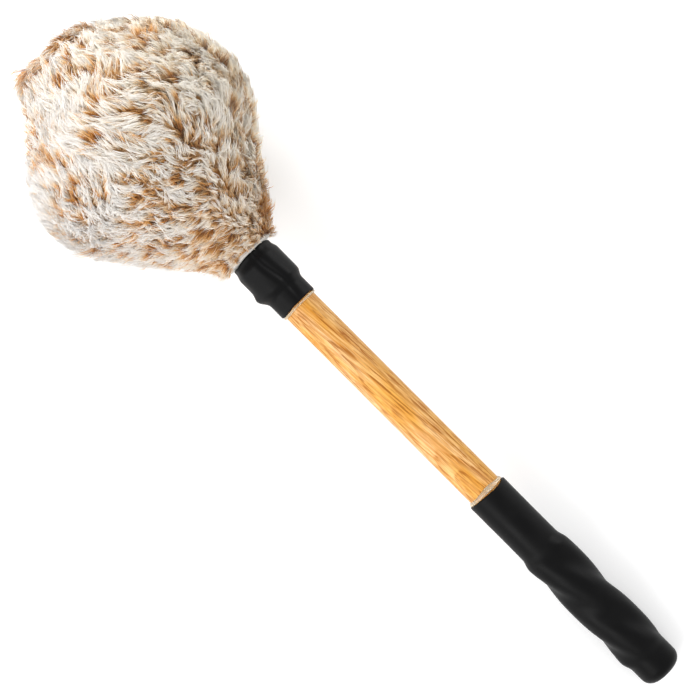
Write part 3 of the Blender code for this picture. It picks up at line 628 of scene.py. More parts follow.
def make_grip():
    """The sleeve's outside, its rounded lip and its inside, closed by a fan at the butt.

    The inside's first row wavers with the lip. Its other rows are plain.
    """
    angles = round_angles(GRIP_SIDES)
    rounding = GRIP_END_ROUND * (1.0 - np.sin(np.linspace(math.pi / 2, 0.02, 18)))
    outer = np.concatenate([rounding, line(rounding[-1], grip_end - LIP_ROUND, 190)])[:, None]
    uneven = 0.45 * MM * np.sin(angles + 0.6) + 0.2 * MM * np.sin(3 * angles)
    slip = smooth_step(outer, grip_end - SLIP_LENGTH, grip_end)
    outside_along = outer + slip * uneven
    outside = grip_radius(angles, outer) - OUT_OF_ROUND * (1.0 + np.sin(2 * angles + outer * 90.0))
    lip_turn = np.linspace(0.2, 1.0, 5)[:, None] * math.pi / 2
    lip_radius = outside[-1:] - GRIP_WALL * 0.45 * (1 - np.cos(lip_turn))
    lip_along = outside_along[-1:] + LIP_ROUND * np.sin(lip_turn)
    inner = np.array([grip_end, grip_end - 30 * MM, CORD_END + CORD_DRAPE, GRIP_END_ROUND])[:, None]
    inner_along = inner + np.array([1, 0, 0, 0])[:, None] * uneven
    inner_radius = np.broadcast_to(SEAT_RADIUS, inner_along.shape)
    radius = np.concatenate([outside, lip_radius, inner_radius])
    along = np.concatenate([np.broadcast_to(outside_along, outside.shape), lip_along,
                            np.broadcast_to(inner_along, inner_radius.shape)])
    poles = around(0.0, 0.0, np.array([0.0, GRIP_END_ROUND]))
    grid = around(radius, angles, along)
    piece = add_shell("black_grip_sleeve", grid, SLEEVE, poles)
    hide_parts("grip_sleeve")


make_grip()

# %% [markdown]
# ## The collar
# The collar is shrunk over the cover's gathered skirt, its drawstring, the knot and a binding of
# twine. It climbs over them in soft steps. One deep lengthwise crease and a few shallow folds show
# where the sleeve had too much cloth under it, and the knot makes a bump on one side.

# %% Form the collar
COLLAR_SIDES = 180
COLLAR_WALL = 1.4 * MM
COLLAR_DRAPE = 5.5 * MM
SKIRT_THICKNESS = 0.7 * MM
TIE_THICKNESS = 1.0 * MM
KNOT_ANGLE = math.pi / 2
KNOT_HEIGHT = 1.5 * MM
KNOT_WIDTH = 4.5 * MM
KNOT_LENGTH = 3.2 * MM
CREASE_ANGLE = math.radians(193)
CREASE_DEPTH = 0.95 * MM
CREASE_WIDTH = 0.13                      # an angle in radians, as those of the welts
WELTS = ((-0.30, 0.16), (0.32, 0.18))    # on each side: angle from the crease, and width
WELT_HEIGHT = 0.28 * MM
FOLD_HEIGHT = 0.11 * MM
COLLAR_LIP = 0.35 * MM

collar_start, collar_end = measured("collar_sleeve")[:2]
tie_low, tie_high = measured("neck_drawstring")[:2]
binding_high = measured("neck_binding")[1]
knot_place = (tie_low + tie_high) / 2
SKIRT_END = knot_place - 3.0 * MM


def bell(value, width):
    """A smooth bump of height 1: e to the power of minus the square of value over width."""
    return np.exp(-((value / width) ** 2))


def turned_by(angle, centre):
    """The signed angle from centre, between minus half a turn and half a turn."""
    return (angle - centre + math.pi) % TURN - math.pi


def collar_radius(angle, along):
    """Steps onto the skirt and the ties, a bump at the knot, the crease and the shallow folds."""
    skirt = smooth_step(along, SKIRT_END - COLLAR_DRAPE, SKIRT_END)
    on = smooth_step(along, tie_low - COLLAR_DRAPE, tie_low)
    off = smooth_step(along, binding_high, binding_high + COLLAR_DRAPE)
    radius = SEAT_RADIUS + COLLAR_WALL + skirt * (SKIRT_THICKNESS + CLEARANCE)
    radius = radius + (on - off) * (TIE_THICKNESS + CLEARANCE)
    from_knot = turned_by(angle, KNOT_ANGLE) * radius
    knot = bell(from_knot, KNOT_WIDTH) * bell(along - knot_place, KNOT_LENGTH)
    radius = radius + KNOT_HEIGHT * knot
    crease_angle = CREASE_ANGLE + 0.10 * np.sin((along - collar_start) * 140.0)
    crease = bell(turned_by(angle, crease_angle), CREASE_WIDTH)
    welts = sum(bell(turned_by(angle, crease_angle + off), width) for off, width in WELTS)
    depth = 0.35 + 0.65 * smooth_step(along, collar_start, SKIRT_END)
    radius = radius - CREASE_DEPTH * crease * depth + WELT_HEIGHT * welts * depth
    folds = np.sin(5 * angle + 60.0 * along + 0.4) + 0.7 * np.sin(8 * angle - 110.0 * along + 2.0)
    loose = 0.35 + 0.65 * smooth_step(along, SKIRT_END, collar_end)
    return radius + FOLD_HEIGHT * folds * loose


def make_collar():
    """The collar's outside, both of its lips and its inside, which follows the outside."""
    angles = round_angles(COLLAR_SIDES)
    outer = np.linspace(collar_start, collar_end, 120)[:, None]
    uneven = 0.35 * MM * np.sin(2 * angles + 0.8) + 0.15 * MM * np.sin(5 * angles)
    outside = collar_radius(angles, outer)
    low = smooth_step(outer, collar_start + 8 * MM, collar_start)
    high = smooth_step(outer, collar_end - 8 * MM, collar_end)
    outside_along = outer + (low + high) * uneven
    at_lips = bell(outer - collar_start, COLLAR_LIP) + bell(outer - collar_end, COLLAR_LIP)
    inside = np.maximum(outside - COLLAR_WALL, SEAT_RADIUS)
    radius = np.concatenate([outside - 0.5 * COLLAR_WALL * at_lips, inside[::-6]])
    along = np.concatenate([outside_along, outside_along[::-6]])
    grid = around(radius, angles, along)
    piece = add_shell("black_collar_sleeve", grid, SLEEVE)
    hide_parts("collar_sleeve")


make_collar()

# %% [markdown]
# ## Beads of glue
# Where a sleeve ends on the wood, the glue that holds it is squeezed out into a narrow bead. It is
# half clear and the wood tints it. Its width wanders round the shaft, more at the grip than at the
# collar.

# %% The glue


def make_glue():
    """Half-clear, slightly yellow glue with a wet shine."""
    material, tree, shader = new_material("clear_glue")
    pattern = use_group(tree, mottle, Vector=shaft_coordinates(tree), Scale=260.0)
    milky = remap(tree, pattern["Broad"], 0.35, 0.7)
    connect(tree, shader.inputs, {
        "Base Color": blend(tree, milky, (0.90, 0.70, 0.42), (0.95, 0.86, 0.68)),
        "Roughness": remap(tree, pattern["Broad"], 0.3, 0.7, 0.12, 0.3),
        "Transmission Weight": 0.70,
        "IOR": 1.48,
        "Normal": bump(tree, pattern["Broad"], 0.3 * MM, 0.6),
    })
    return material


GLUE = make_glue()

# %% [markdown]
# ## The shape of a bead
# A bead is a quarter round in the corner between the sleeve's end and the wood. Its width is taken
# times 1 plus a sum of sine waves, which go two to eight times round the shaft. The more often one
# goes round, the lower it is.

# %% Lay the two beads
BEAD_SIDES = 144
BEAD_HEIGHT = 1.1 * MM


def make_bead(name, cad_node, start, width, wander, seed):
    """A quarter-round bead whose width varies by wander. A negative width runs towards the butt."""
    random = np.random.default_rng(seed)
    angles = round_angles(BEAD_SIDES)
    edge = np.zeros_like(angles)
    for turns in range(2, 9):
        edge = edge + random.normal() * np.sin(turns * angles + random.uniform(0.0, TURN)) / turns
    reach = width * (1.0 + wander * edge)
    turn = np.linspace(0.0, math.pi / 2, 9)[:, None]
    height = BEAD_HEIGHT * (1.0 + 0.15 * np.sin(3 * angles + seed))
    radius = np.concatenate([SEAT_RADIUS + height * np.cos(turn), SEAT_RADIUS + 0 * angles])
    along = np.concatenate([start + reach * np.sin(turn), start + 0 * angles])
    if width < 0:
        radius, along = radius[::-1], along[::-1]
    piece = add_shell(name, around(radius, angles, along), GLUE)
    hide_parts(cad_node)


make_bead("grip_glue_bead", "grip_adhesive", grip_end + 0.6 * MM, 2.3 * MM, 0.28, 3)
make_bead("collar_glue_bead", "collar_adhesive", collar_start - 0.5 * MM, -1.2 * MM, 0.15, 8)

# %% [markdown]
# ## The outline of the head
# Seen from the side, the head is a chain of circles with lines that touch them: a small round at the
# mouth of the fur, a long cone, the shoulder behind the widest place, the brow in front of it and the
# corner of the flat crown. The outline is measured by its own length, from the mouth to the middle
# of the crown, so that hair can be spread evenly over it.

# %% The outline as a function of its own length
MOUTH_ROUND = 1.5 * MM
MOUTH_RADIUS = 18.5 * MM
NECK_LENGTH = 41.3 * MM                  # from the start of the collar to the mouth of the fur
BELLY_LENGTH = 88.7 * MM                 # from the mouth to the widest place
SHOULDER_RADIUS = 48.8 * MM
BROW_RADIUS = 60.0 * MM
CORNER_RADIUS = 14.0 * MM
CROWN_FLAT = 19.0 * MM
SEAM_PLACE = 0.5008                      # where the crown's seam lies, in metres from the butt
ARC_STEPS = 60

HEAD_RADIUS = measured("fur_side_panel")[2]
CROWN = measured("fur_crown_panel")[1]
MOUTH = collar_start + NECK_LENGTH
BELLY = MOUTH + BELLY_LENGTH


def tangent_angle(first, first_radius, second, second_radius):
    """The direction square to the line that touches two circles on their outer side."""
    out = second[0] - first[0]
    up = second[1] - first[1]
    lean = math.acos((first_radius - second_radius) / math.hypot(out, up))
    return math.atan2(out, up) + lean


CORNER_CENTRE = (CROWN_FLAT, CROWN - CORNER_RADIUS)
BROW_CENTRE = (HEAD_RADIUS - BROW_RADIUS, BELLY)
SHOULDER_CENTRE = (HEAD_RADIUS - SHOULDER_RADIUS, BELLY)
MOUTH_CENTRE = (MOUTH_RADIUS - MOUTH_ROUND, MOUTH + MOUTH_ROUND)
BROW_ANGLE = tangent_angle(BROW_CENTRE, BROW_RADIUS, CORNER_CENTRE, CORNER_RADIUS)
CONE_ANGLE = tangent_angle(MOUTH_CENTRE, MOUTH_ROUND, SHOULDER_CENTRE, SHOULDER_RADIUS)

outline_parts = [
    (MOUTH_CENTRE, MOUTH_ROUND, math.pi, CONE_ANGLE),
    (SHOULDER_CENTRE, SHOULDER_RADIUS, CONE_ANGLE, math.pi / 2),
    (BROW_CENTRE, BROW_RADIUS, math.pi / 2, BROW_ANGLE),
    (CORNER_CENTRE, CORNER_RADIUS, BROW_ANGLE, 0.0),
]
outline = np.concatenate([arc(*part, ARC_STEPS) for part in outline_parts] + [[(0.0, CROWN)]])
outline_turn = np.concatenate([np.linspace(*part[2:], ARC_STEPS) for part in outline_parts] + [[0.0]])
step_length = np.linalg.norm(np.diff(outline, axis=0), axis=1)
outline_length = np.concatenate([[0.0], np.cumsum(step_length)])
step_radius = (outline[1:, 0] + outline[:-1, 0]) / 2
outline_area = np.concatenate([[0.0], np.cumsum(step_radius * np.diff(outline_length))])


def radius_at(length):
    """The outline's radius at a length along it."""
    return np.interp(length, outline_length, outline[:, 0])


def place_at(length):
    """The place along the shaft at a length along the outline."""
    return np.interp(length, outline_length, outline[:, 1])


def length_at(place):
    """The length along the outline at a place along the shaft."""
    return np.interp(place, outline[:, 1], outline_length)


HEAD_LENGTH = outline_length[-1]
SEAM_LENGTH = float(length_at(SEAM_PLACE))
WIDEST_LENGTH = float(length_at(BELLY))
print(f"the outline is {HEAD_LENGTH:.4f} m long, its seam at {SEAM_LENGTH:.4f} m")

# %% [markdown]
# ## A head that is not quite round
# A stuffed cover is never a perfect turned shape. This one bulges to one side in front of its widest
# place and is a little slack on the other. The surface is the turned outline, moved sideways by a
# smooth bump along the shaft, and moved in and out by broad, low waves.

# %% Points and directions on the head
BULGE_PLACE = 471.0 * MM
BULGE_WIDTH = 25.0 * MM
BULGE_SHIFT = -5.6 * MM
LUMP_HEIGHT = 0.8 * MM
LUMP_SIZE = 55 * MM
FLOOR_CLEARANCE = 0.25 * MM


def head_frame(length, angle, depth=0.0):
    """Points depth inside the fur's surface, and there: outwards, towards the crown, and round."""
    length, angle, depth = np.broadcast_arrays(length, angle, depth)
    radius = radius_at(length)
    along = place_at(length)
    lean = np.interp(length, outline_length, outline_turn)
    spoke = np.cos(angle)[..., None] * UNDER + np.sin(angle)[..., None] * SIDE
    outwards = np.sin(lean)[..., None] * spoke + np.cos(lean)[..., None] * ALONG
    crownwards = -np.cos(lean)[..., None] * spoke + np.sin(lean)[..., None] * ALONG
    roundwards = -np.sin(angle)[..., None] * UNDER + np.cos(angle)[..., None] * SIDE
    points = BUTT + radius[..., None] * spoke + along[..., None] * ALONG
    lumps = LUMP_HEIGHT * waves(points, LUMP_SIZE, 21) * smooth_step(length, 0.01, 0.05)
    points = points + (lumps - depth)[..., None] * outwards
    shift = BULGE_SHIFT * bell(along - BULGE_PLACE, BULGE_WIDTH)
    return points + shift[..., None] * SIDE, outwards, crownwards, roundwards


def lift_off_floor(points):
    """Raise what would reach the floor to just above it, so that the fur is pressed flat there."""
    points[..., 2] = np.maximum(points[..., 2], FLOOR_CLEARANCE)
    return points


# %% [markdown]
# ## The cover's backing and its dense underfur
# Fake fur is a knitted backing with a dense short underfur and long guard hair. The underfur is one
# thick, lumpy shell in tan, with a groove along the crown's seam. The backing is a thinner shell
# inside it, which goes on as the gathered skirt under the collar and shows as a pale edge at the mouth.

# %% Materials for cloth and underfur
soft_fibres, given, out = new_group(
    "soft_fibres",
    {"Vector": ("Vector", None), "Scale": ("Float", 1500.0)},
    {"Tone": "Float", "Height": "Float"},
)
broad_scale = calculate(soft_fibres, "MULTIPLY", given["Scale"], 0.08)
connect(soft_fibres, out, {
    "Tone": noise(soft_fibres, given["Vector"], broad_scale, 2.0),
    "Height": noise(soft_fibres, given["Vector"], given["Scale"], 4.0, 0.65, 0.8),
})


def make_soft(name, dark, pale, scale, distance=0.4 * MM):
    """Cloth, cord or foam: a tangle of fibres with broad changes of tone, and painted shade where they
    lie low.
    """
    material, tree, shader = new_material(name)
    fibres = use_group(tree, soft_fibres, Vector=shaft_coordinates(tree), Scale=scale)
    ground = blend(tree, remap(tree, fibres["Tone"], 0.3, 0.7), dark, pale)
    # darker where the fibres lie low: painted shade in the hollows between fibres
    painted_fibre_shade = remap(tree, fibres["Height"], 0.3, 0.6, 0.7, 1.0)
    connect(tree, shader.inputs, {
        "Base Color": blend(tree, 1.0, ground, painted_fibre_shade, "MULTIPLY"),
        "Roughness": 0.95,
        "Specular IOR Level": 0.2,
        "Normal": bump(tree, fibres["Height"], distance, 0.8),
    })
    return material


UNDERFUR = make_soft("underfur", (0.62, 0.33, 0.13), (0.90, 0.66, 0.42), 900.0, 1.2 * MM)
BACKING = make_soft("knitted_backing", (0.72, 0.68, 0.62), (0.86, 0.83, 0.78), 2600.0)

# %% [markdown]
# ## The underfur
# It could be hair too, but nobody sees single hairs so deep. A closed shell with small lumps fills
# the gaps between the locks with colour.

# %% The underfur's shell
HEAD_SIDES = 224
HEAD_ROWS = 130
OUTLINE_END = 0.4 * MM                   # what a shell leaves free at each end of the outline
UNDERFUR_DEPTH = 5.2 * MM
UNDERFUR_FULL = 14 * MM                  # from the mouth to where the underfur has its full depth
UNDERFUR_LUMPS = 0.5 * MM
MOUTH_DEPTH = 0.7 * MM
SEAM_GROOVE = 2.4 * MM
SEAM_WIDTH = 2.2 * MM
BACKING_DEPTH = 8.0 * MM


def underfur_depth(lengths):
    """Thin at the mouth, then full, and deeper in a groove along the crown's seam."""
    edge = smooth_step(lengths, 0.0, UNDERFUR_FULL)
    groove = SEAM_GROOVE * bell(lengths - SEAM_LENGTH, SEAM_WIDTH)
    return MOUTH_DEPTH + (UNDERFUR_DEPTH - MOUTH_DEPTH) * edge + groove


def make_underfur():
    """A lumpy shell from the mouth to the crown, closed by its inside at BACKING_DEPTH."""
    lengths = np.linspace(OUTLINE_END, HEAD_LENGTH - OUTLINE_END, HEAD_ROWS)[:, None]
    angles = round_angles(HEAD_SIDES)
    edge = smooth_step(lengths, 0.0, UNDERFUR_FULL)
    depth = underfur_depth(lengths)
    points = head_frame(lengths, angles, depth)[0]
    depth = depth + UNDERFUR_LUMPS * waves(points, 6 * MM, 31) * edge
    outside = head_frame(lengths, angles, depth)[0]
    inner_depth = np.maximum(depth[::-3] + 0.8 * MM, BACKING_DEPTH * edge[::-3])
    inside = head_frame(lengths[::-3], angles, inner_depth)[0]
    grid = lift_off_floor(np.concatenate([outside, inside]))
    piece = add_shell("fur_underfur", grid, UNDERFUR)
    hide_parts("fur_side_panel", "fur_crown_panel")


make_underfur()

# %% [markdown]
# ## The backing
# One closed shell goes from the gathered skirt on the shaft up to the mouth, turns out into a short
# frayed lip, follows the head inside the underfur to the crown and comes back with its own wall.

# %% The backing's shell
SKIRT_WALL = 0.7 * MM
MOUTH_LIP = 0.9 * MM
BACKING_SIDES = 144
BACKING_ROWS = 60
BACKING_WALL = 0.8 * MM


def make_backing():
    """The knitted layer: the skirt round the shaft, a flared lip at the mouth and the inside."""
    lengths = np.linspace(3.0 * MM, HEAD_LENGTH - OUTLINE_END, BACKING_ROWS)[:, None]
    angles = round_angles(BACKING_SIDES)
    skirt = SEAT_RADIUS + SKIRT_WALL
    lip = MOUTH_RADIUS - 0.8 * MM
    gathers = 0.10 * MM * np.sin(22 * angles) + 0.07 * MM * np.sin(31 * angles + 1.0)
    wander = 0.35 * MM * np.sin(3 * angles + 0.5) + 0.25 * MM * np.sin(7 * angles)
    profile = np.array([
        # radius, place, share of the gathers, share of the wander
        (skirt, SKIRT_END, 0.3, 0.0),
        (skirt, collar_end - 8 * MM, 1.0, 0.0),
        (skirt, MOUTH - MOUTH_LIP, 0.6, 0.0),
        (lip - 1.0 * MM, MOUTH - MOUTH_LIP, 0.0, 0.4),
        (lip, MOUTH - 0.6 * MOUTH_LIP, 0.0, 0.5),
        (lip - 0.4 * MM, MOUTH, 0.0, 0.5),
    ])
    radius, place, folded, frayed = (column[:, None] for column in profile.T)
    front = around(radius + folded * gathers + frayed * wander, angles, place)
    depth = BACKING_DEPTH * smooth_step(lengths, 0.0, 12 * MM) + 1.0 * MM
    outer = head_frame(lengths, angles, depth)[0]
    inner = head_frame(lengths[::-1], angles, depth[::-1] + BACKING_WALL)[0]
    back = around(SEAT_RADIUS + 0 * angles, angles, np.array([[MOUTH + 2 * MM], [SKIRT_END]]))
    grid = lift_off_floor(np.concatenate([front, outer, inner, back]))
    piece = add_shell("cover_backing", grid, BACKING)
    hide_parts("fur_side_panel")


make_backing()

# %% [markdown]
# ## Which way the hair lies
# The pile lies from the neck towards the crown, but it wanders: broad swirls come from handling, and
# smaller ones from the cloth. Hair parts along both seams, where the two edges of the cloth turn in.
# One number per lock says which way it lies, as an angle from the direction of the crown.

# %% The flow of the pile
SEAM_TOP = 0.498
SIDE_SEAM_PLACES = np.array([0.345, 0.375, 0.400, 0.427, 0.445, 0.460, 0.478, 0.498])
SIDE_SEAM_RISE = np.radians([2.0, 10.0, 16.0, 20.0, 23.0, 28.0, 36.0, 42.0])
PART_WIDTH = 7.0 * MM
PART_TURN = 1.1                          # how far the seam turns the hair beside it, in radians
NO_SEAM = 99.0                           # metres: stands for no seam near
SWIRLS = ((0.40, 75 * MM, 41), (0.32, 30 * MM, 42), (0.22, 11 * MM, 43))


def side_seam_angle(along):
    """The side seam's angle about the shaft: it rises from one edge of the view towards the crown."""
    rise = np.interp(along, SIDE_SEAM_PLACES, SIDE_SEAM_RISE)
    return -math.pi / 2 - rise


def flow_of(points, lengths, angles):
    """The pile's turn from the crown's direction, and how far it is from the side seam."""
    along = place_at(lengths)
    off_seam = turned_by(angles, side_seam_angle(along)) * radius_at(lengths)
    off_seam = np.where(along > SEAM_TOP, NO_SEAM, off_seam)
    part = np.exp(-np.abs(off_seam) / PART_WIDTH)
    flow = layered(points, *SWIRLS) * (1 - 0.5 * part) + PART_TURN * np.sign(off_seam) * part
    return flow, off_seam


# %% [markdown]
# ## Tufts, bundles and locks
# Real fur holds together on several scales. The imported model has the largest: rows of tufts, each
# row set between those of the next, whose height is a product of two cosines. On them lie smaller
# bundles, longer than they are wide. A lock's tip is drawn uphill towards its tuft and sideways
# towards its bundle, so gaps open between them and show the darker roots.

# %% The height of the main tufts
TUFTS_ROUND = 24
TUFT_ROW = 12.8 * MM
TUFT_WIDTH = 9.0 * MM
TUFT_SWAY = 2.3 * MM


def crest(lengths, angles):
    """1 on a tuft and 0 between tufts: half of 1 plus cos(turns) times cos(half turns of the row).

    Both sway by low sine waves, and fewer tufts go round where the head is narrow.
    """
    radius = np.maximum(radius_at(lengths), 1 * MM)
    row = np.where(lengths < SEAM_LENGTH, WIDEST_LENGTH - lengths, HEAD_LENGTH - lengths) / TUFT_ROW
    along = TUFT_SWAY * np.sin(5 * angles - 1.7 * row)
    aside = TUFT_SWAY * np.sin(7 * angles + 2.1 * row) * np.minimum(1.0, radius / TUFT_ROW)
    crowding = np.log2(TUFTS_ROUND * TUFT_WIDTH / (TURN * radius))
    tufts = TUFTS_ROUND / 2 ** np.clip(np.ceil(crowding), 0, 2)
    turns = np.cos(tufts * (angles - aside / radius))
    return (1.0 + turns * np.cos(math.pi * (row - along / TUFT_ROW))) / 2


def uphill(lengths, angles, crownwards, roundwards):
    """The slope of the tufts' height, per metre, as a direction along the surface."""
    step = 0.5 * MM
    turn_step = step / np.maximum(radius_at(lengths), 2 * MM)
    onward = (crest(lengths + step, angles) - crest(lengths - step, angles)) / (2 * step)
    aside = (crest(lengths, angles + turn_step) - crest(lengths, angles - turn_step)) / (2 * step)
    return onward[:, None] * crownwards + aside[:, None] * roundwards


# %% [markdown]
# ## Where the locks stand
# Points at random would leave bald spots. On a spiral that turns by the golden angle and moves on by
# equal areas they lie evenly at any count, and a little jitter hides the pattern. The same spiral
# gives the bundles and the locks.

# %% Spread points over the head
GOLDEN_TURN = math.pi * (3 - math.sqrt(5))


def spread(count, jitter, random):
    """Lengths and angles of points on a spiral with equal areas, each moved a little."""
    share = (np.arange(count) + 0.5) / count
    lengths = np.interp(share * outline_area[-1], outline_area, outline_length)
    radius = np.maximum(radius_at(lengths), 2 * MM)
    angles = np.arange(count) * GOLDEN_TURN + random.normal(size=count) * jitter / radius
    lengths = np.clip(lengths + random.normal(size=count) * jitter, 0.3 * MM, HEAD_LENGTH)
    return lengths, angles % TURN


BUNDLES = 2300
LOCKS = 16000
ROOT_BELOW = 1.4 * MM                    # how deep in the underfur a hair starts
HAIR_SEED = 7

random = np.random.default_rng(HAIR_SEED)
bundle_length, bundle_angle = spread(BUNDLES, 1.4 * MM, random)
lock_length, lock_angle = spread(LOCKS, 0.8 * MM, random)
bundle_point = head_frame(bundle_length, bundle_angle)[0]
root_depth = underfur_depth(lock_length) + ROOT_BELOW
lock_point, lock_out, lock_crown, lock_round = head_frame(lock_length, lock_angle, root_depth)
lock_surface = lock_point + root_depth[:, None] * lock_out
print(f"{BUNDLES} bundles and {LOCKS} locks")

# %% [markdown]
# ## Length and lean of each lock
# Hair is short beside a seam and at the mouth, and long in the middle of the panels. On the crown it
# lies to one side. In four places it was ruffled: a brown ear stands off the crown's rim, a brown
# tuft off the neck and a white one beside the side seam, with a flat brown one in front of it.

# %% Lay the locks


def part_along(vectors, direction):
    """The part of each vector that points along a direction of length 1."""
    return (vectors * direction).sum(axis=1, keepdims=True) * direction


flow, off_seam = flow_of(lock_surface, lock_length, lock_angle)
flow = flow + 0.20 * random.normal(size=LOCKS)
near_crown_seam = bell(lock_length - SEAM_LENGTH, 4.5 * MM)
near_side_seam = bell(off_seam, 4.0 * MM)
near_mouth = bell(lock_length, 12 * MM)
on_crown = smooth_step(lock_length, SEAM_LENGTH - 1 * MM, SEAM_LENGTH + 1 * MM)

forward = np.cos(flow)[:, None] * lock_crown + np.sin(flow)[:, None] * lock_round
CROWN_PILE = -0.5 * UNDER + 0.85 * SIDE
across_crown = unit(CROWN_PILE - (lock_out @ CROWN_PILE)[:, None] * lock_out)
across_crown = across_crown + 0.3 * random.normal(size=(LOCKS, 1)) * np.cross(lock_out, across_crown)
forward = forward * (1 - on_crown)[:, None] + across_crown * on_crown[:, None]

RUFFLED = (
    # place along the shaft, angle in degrees, size, direction, lift, brown
    (504 * MM, 150.0, 8.5 * MM, 0.8 * SIDE + 0.6 * ALONG - 0.1 * UNDER, 1.1, 0.90),
    (355 * MM, 262.0, 8.0 * MM, 0.3 * ALONG - 0.9 * SIDE - 0.1 * UNDER, 0.5, 0.85),
    (452 * MM, 243.0, 6.0 * MM, 0.6 * ALONG - 0.5 * SIDE - 0.4 * UNDER, 0.5, 0.05),
    (470 * MM, 224.0, 8.0 * MM, 0.5 * ALONG - 0.7 * SIDE, 0.1, 0.75),
)
ruffle_lift = np.zeros(LOCKS)
ruffle_share = np.zeros(LOCKS)
ruffle_brown = np.zeros(LOCKS)
for place, degrees, size, heading, lift, share in RUFFLED:
    centre = head_frame(length_at(place), math.radians(degrees))[0]
    weight = bell(np.linalg.norm(lock_surface - centre, axis=1), size)
    forward = forward * (1 - weight)[:, None] + weight[:, None] * heading
    ruffle_lift = ruffle_lift + lift * weight
    ruffle_brown = ruffle_brown * (1 - weight) + share * weight
    ruffle_share = np.maximum(ruffle_share, weight)
forward = unit(forward - part_along(forward, lock_out))

LOCK_REACH = 9.6 * MM
LOCK_RISE = 6.3 * MM
reach = LOCK_REACH * (1 + 0.15 * random.normal(size=LOCKS) + 0.10 * waves(lock_surface, 16 * MM, 51))
reach = reach * (1 - 0.30 * near_side_seam) * (1 - 0.50 * near_mouth)
before_seam = np.where(lock_length < SEAM_LENGTH, SEAM_LENGTH - lock_length, 1.0)
reach = np.minimum(reach, before_seam + 0.5 * MM) * (1 + 0.35 * ruffle_lift)
print(f"{len(RUFFLED)} ruffled places, {int((ruffle_share > 0.5).sum())} locks in them")

# %% [markdown]
# ## Tips that hold together
# A lock's tip goes to the nearest bundle. Nearness counts less along the hair than across it, which
# makes the bundles long. The squared distance to each bundle is that of the two points, less a share
# of its part along the hair, worked out for all locks and bundles at once.

# %% Draw the tips together
LONG_SHARE = 0.62                        # a bundle's length counts this much less than its width
PULL_ASIDE = 0.55                        # how far a tip is drawn to its bundle
PULL_AHEAD = 0.20
UPHILL_PULL = 13.0 * MM * MM

tip_length = lock_length + reach * (forward * lock_crown).sum(axis=1)
tip_radius = np.maximum(radius_at(tip_length), 2 * MM)
tip_angle = lock_angle + reach * (forward * lock_round).sum(axis=1) / tip_radius
tip_crest = crest(tip_length, tip_angle)
tip_surface = head_frame(np.minimum(tip_length, HEAD_LENGTH), tip_angle)[0]

tip_forward = (tip_surface * forward).sum(axis=1)
ahead = forward @ bundle_point.T - tip_forward[:, None]
squared = (tip_surface**2).sum(axis=1)[:, None] + (bundle_point**2).sum(axis=1)[None, :]
squared -= 2 * tip_surface @ bundle_point.T
squared -= LONG_SHARE * ahead**2
nearest = squared.argmin(axis=1)
from_bundle = np.sqrt(np.maximum(squared[np.arange(LOCKS), nearest], 0.0))
to_bundle = bundle_point[nearest] - tip_surface
to_bundle = to_bundle - part_along(to_bundle, lock_out)
forward_part = part_along(to_bundle, forward)

lock_pull = PULL_ASIDE * (to_bundle - forward_part) + PULL_AHEAD * forward_part
lock_pull += UPHILL_PULL * uphill(tip_length, tip_angle, lock_crown, lock_round)
lock_pull *= (1 - 0.8 * near_crown_seam)[:, None]

rise = LOCK_RISE * (1 + 0.11 * random.normal(size=LOCKS) + 0.07 * waves(lock_surface, 12 * MM, 52))
rise = rise * (0.74 + 0.46 * tip_crest) * (1 - 0.45 * near_crown_seam) * (1 - 0.30 * near_mouth)
rise = rise * (1 + ruffle_lift)
print(f"tips start {from_bundle.mean() * 1000:.1f} mm from their bundles")

# %% [markdown]
# ## Colour of each lock
# The pile is frosted: brown at the root, then golden, then cream or white to the tip. Where a bundle
# or a tuft ends, its hair parts and the brown comes up. How wide these partings are changes over the
# head: the neck and both seams are browner. The side towards +Y, which faces the lamps, is painted
# nearly white and the far side creamier, with greyer roots: partly painted light and shade, partly the
# pile's own colour.

# %% Brown and warmth
# how much brown each place adds to a lock
SIDE_SEAM_BROWN = 0.45
CROWN_SEAM_BROWN = 0.40
CROWN_BROWN = 0.34
NECK_BROWN = 0.42
HOLLOW_BROWN = 0.56
OPEN_BROWN = 0.10
PATCHES = ((1.0, 13 * MM, 61), (0.6, 34 * MM, 62))

parting = smooth_step(from_bundle, 1.0 * MM, 2.5 * MM)
hollow = smooth_step(1 - tip_crest, 0.45, 1.0)
# side_share grows towards +Y, where the lamps stand; fewer brown partings there are partly painted
# light
side_share = (lock_surface - BUTT) @ SIDE / HEAD_RADIUS
open_share = smooth_step(layered(lock_surface, *PATCHES) - 0.45 * side_share, -1.0, 1.3)
near_neck = smooth_step(-lock_length, -62 * MM, -6 * MM)
brown = 0.03 + 0.07 * random.normal(size=LOCKS) + (0.14 + 0.62 * open_share) * parting
brown = brown + HOLLOW_BROWN * open_share * hollow + OPEN_BROWN * open_share
brown = brown + NECK_BROWN * near_neck + SIDE_SEAM_BROWN * near_side_seam
brown = brown + CROWN_SEAM_BROWN * near_crown_seam + CROWN_BROWN * on_crown
# less brown towards +Y: partly painted light
brown = brown * (1 - 0.3 * smooth_step(side_share, 0.55, 0.95))
brown = brown * (1 - ruffle_share) + ruffle_brown
brown = np.clip(brown, 0.0, 1.0)
# whiter tints towards +Y, creamier tints with greyer roots on the far side: partly painted light and
# shade
warmth = 0.36 - 0.50 * side_share + 0.15 * random.normal(size=LOCKS)
warmth = warmth - 0.3 * near_crown_seam - 0.2 * on_crown - 0.6 * ruffle_brown
warmth = np.clip(warmth, 0.0, 1.0)
print(f"reach {reach.mean() * 1000:.1f} mm, rise {rise.mean() * 1000:.1f} mm, brown {brown.mean():.2f}")

# %% [markdown]
# ## Hair as real geometry
# Hair particles would be lost in an exported model, so each hair is a thin, closed, three-sided
# spike: rings of three points along a bent centre line and one point at its tip. Its centre line
# rises steeply, then bends over: height is rise times 1 - (1 - v) squared, and the way forward is
# reach times a mix of v and v squared. v goes from 0 at the root to 1 at the tip.

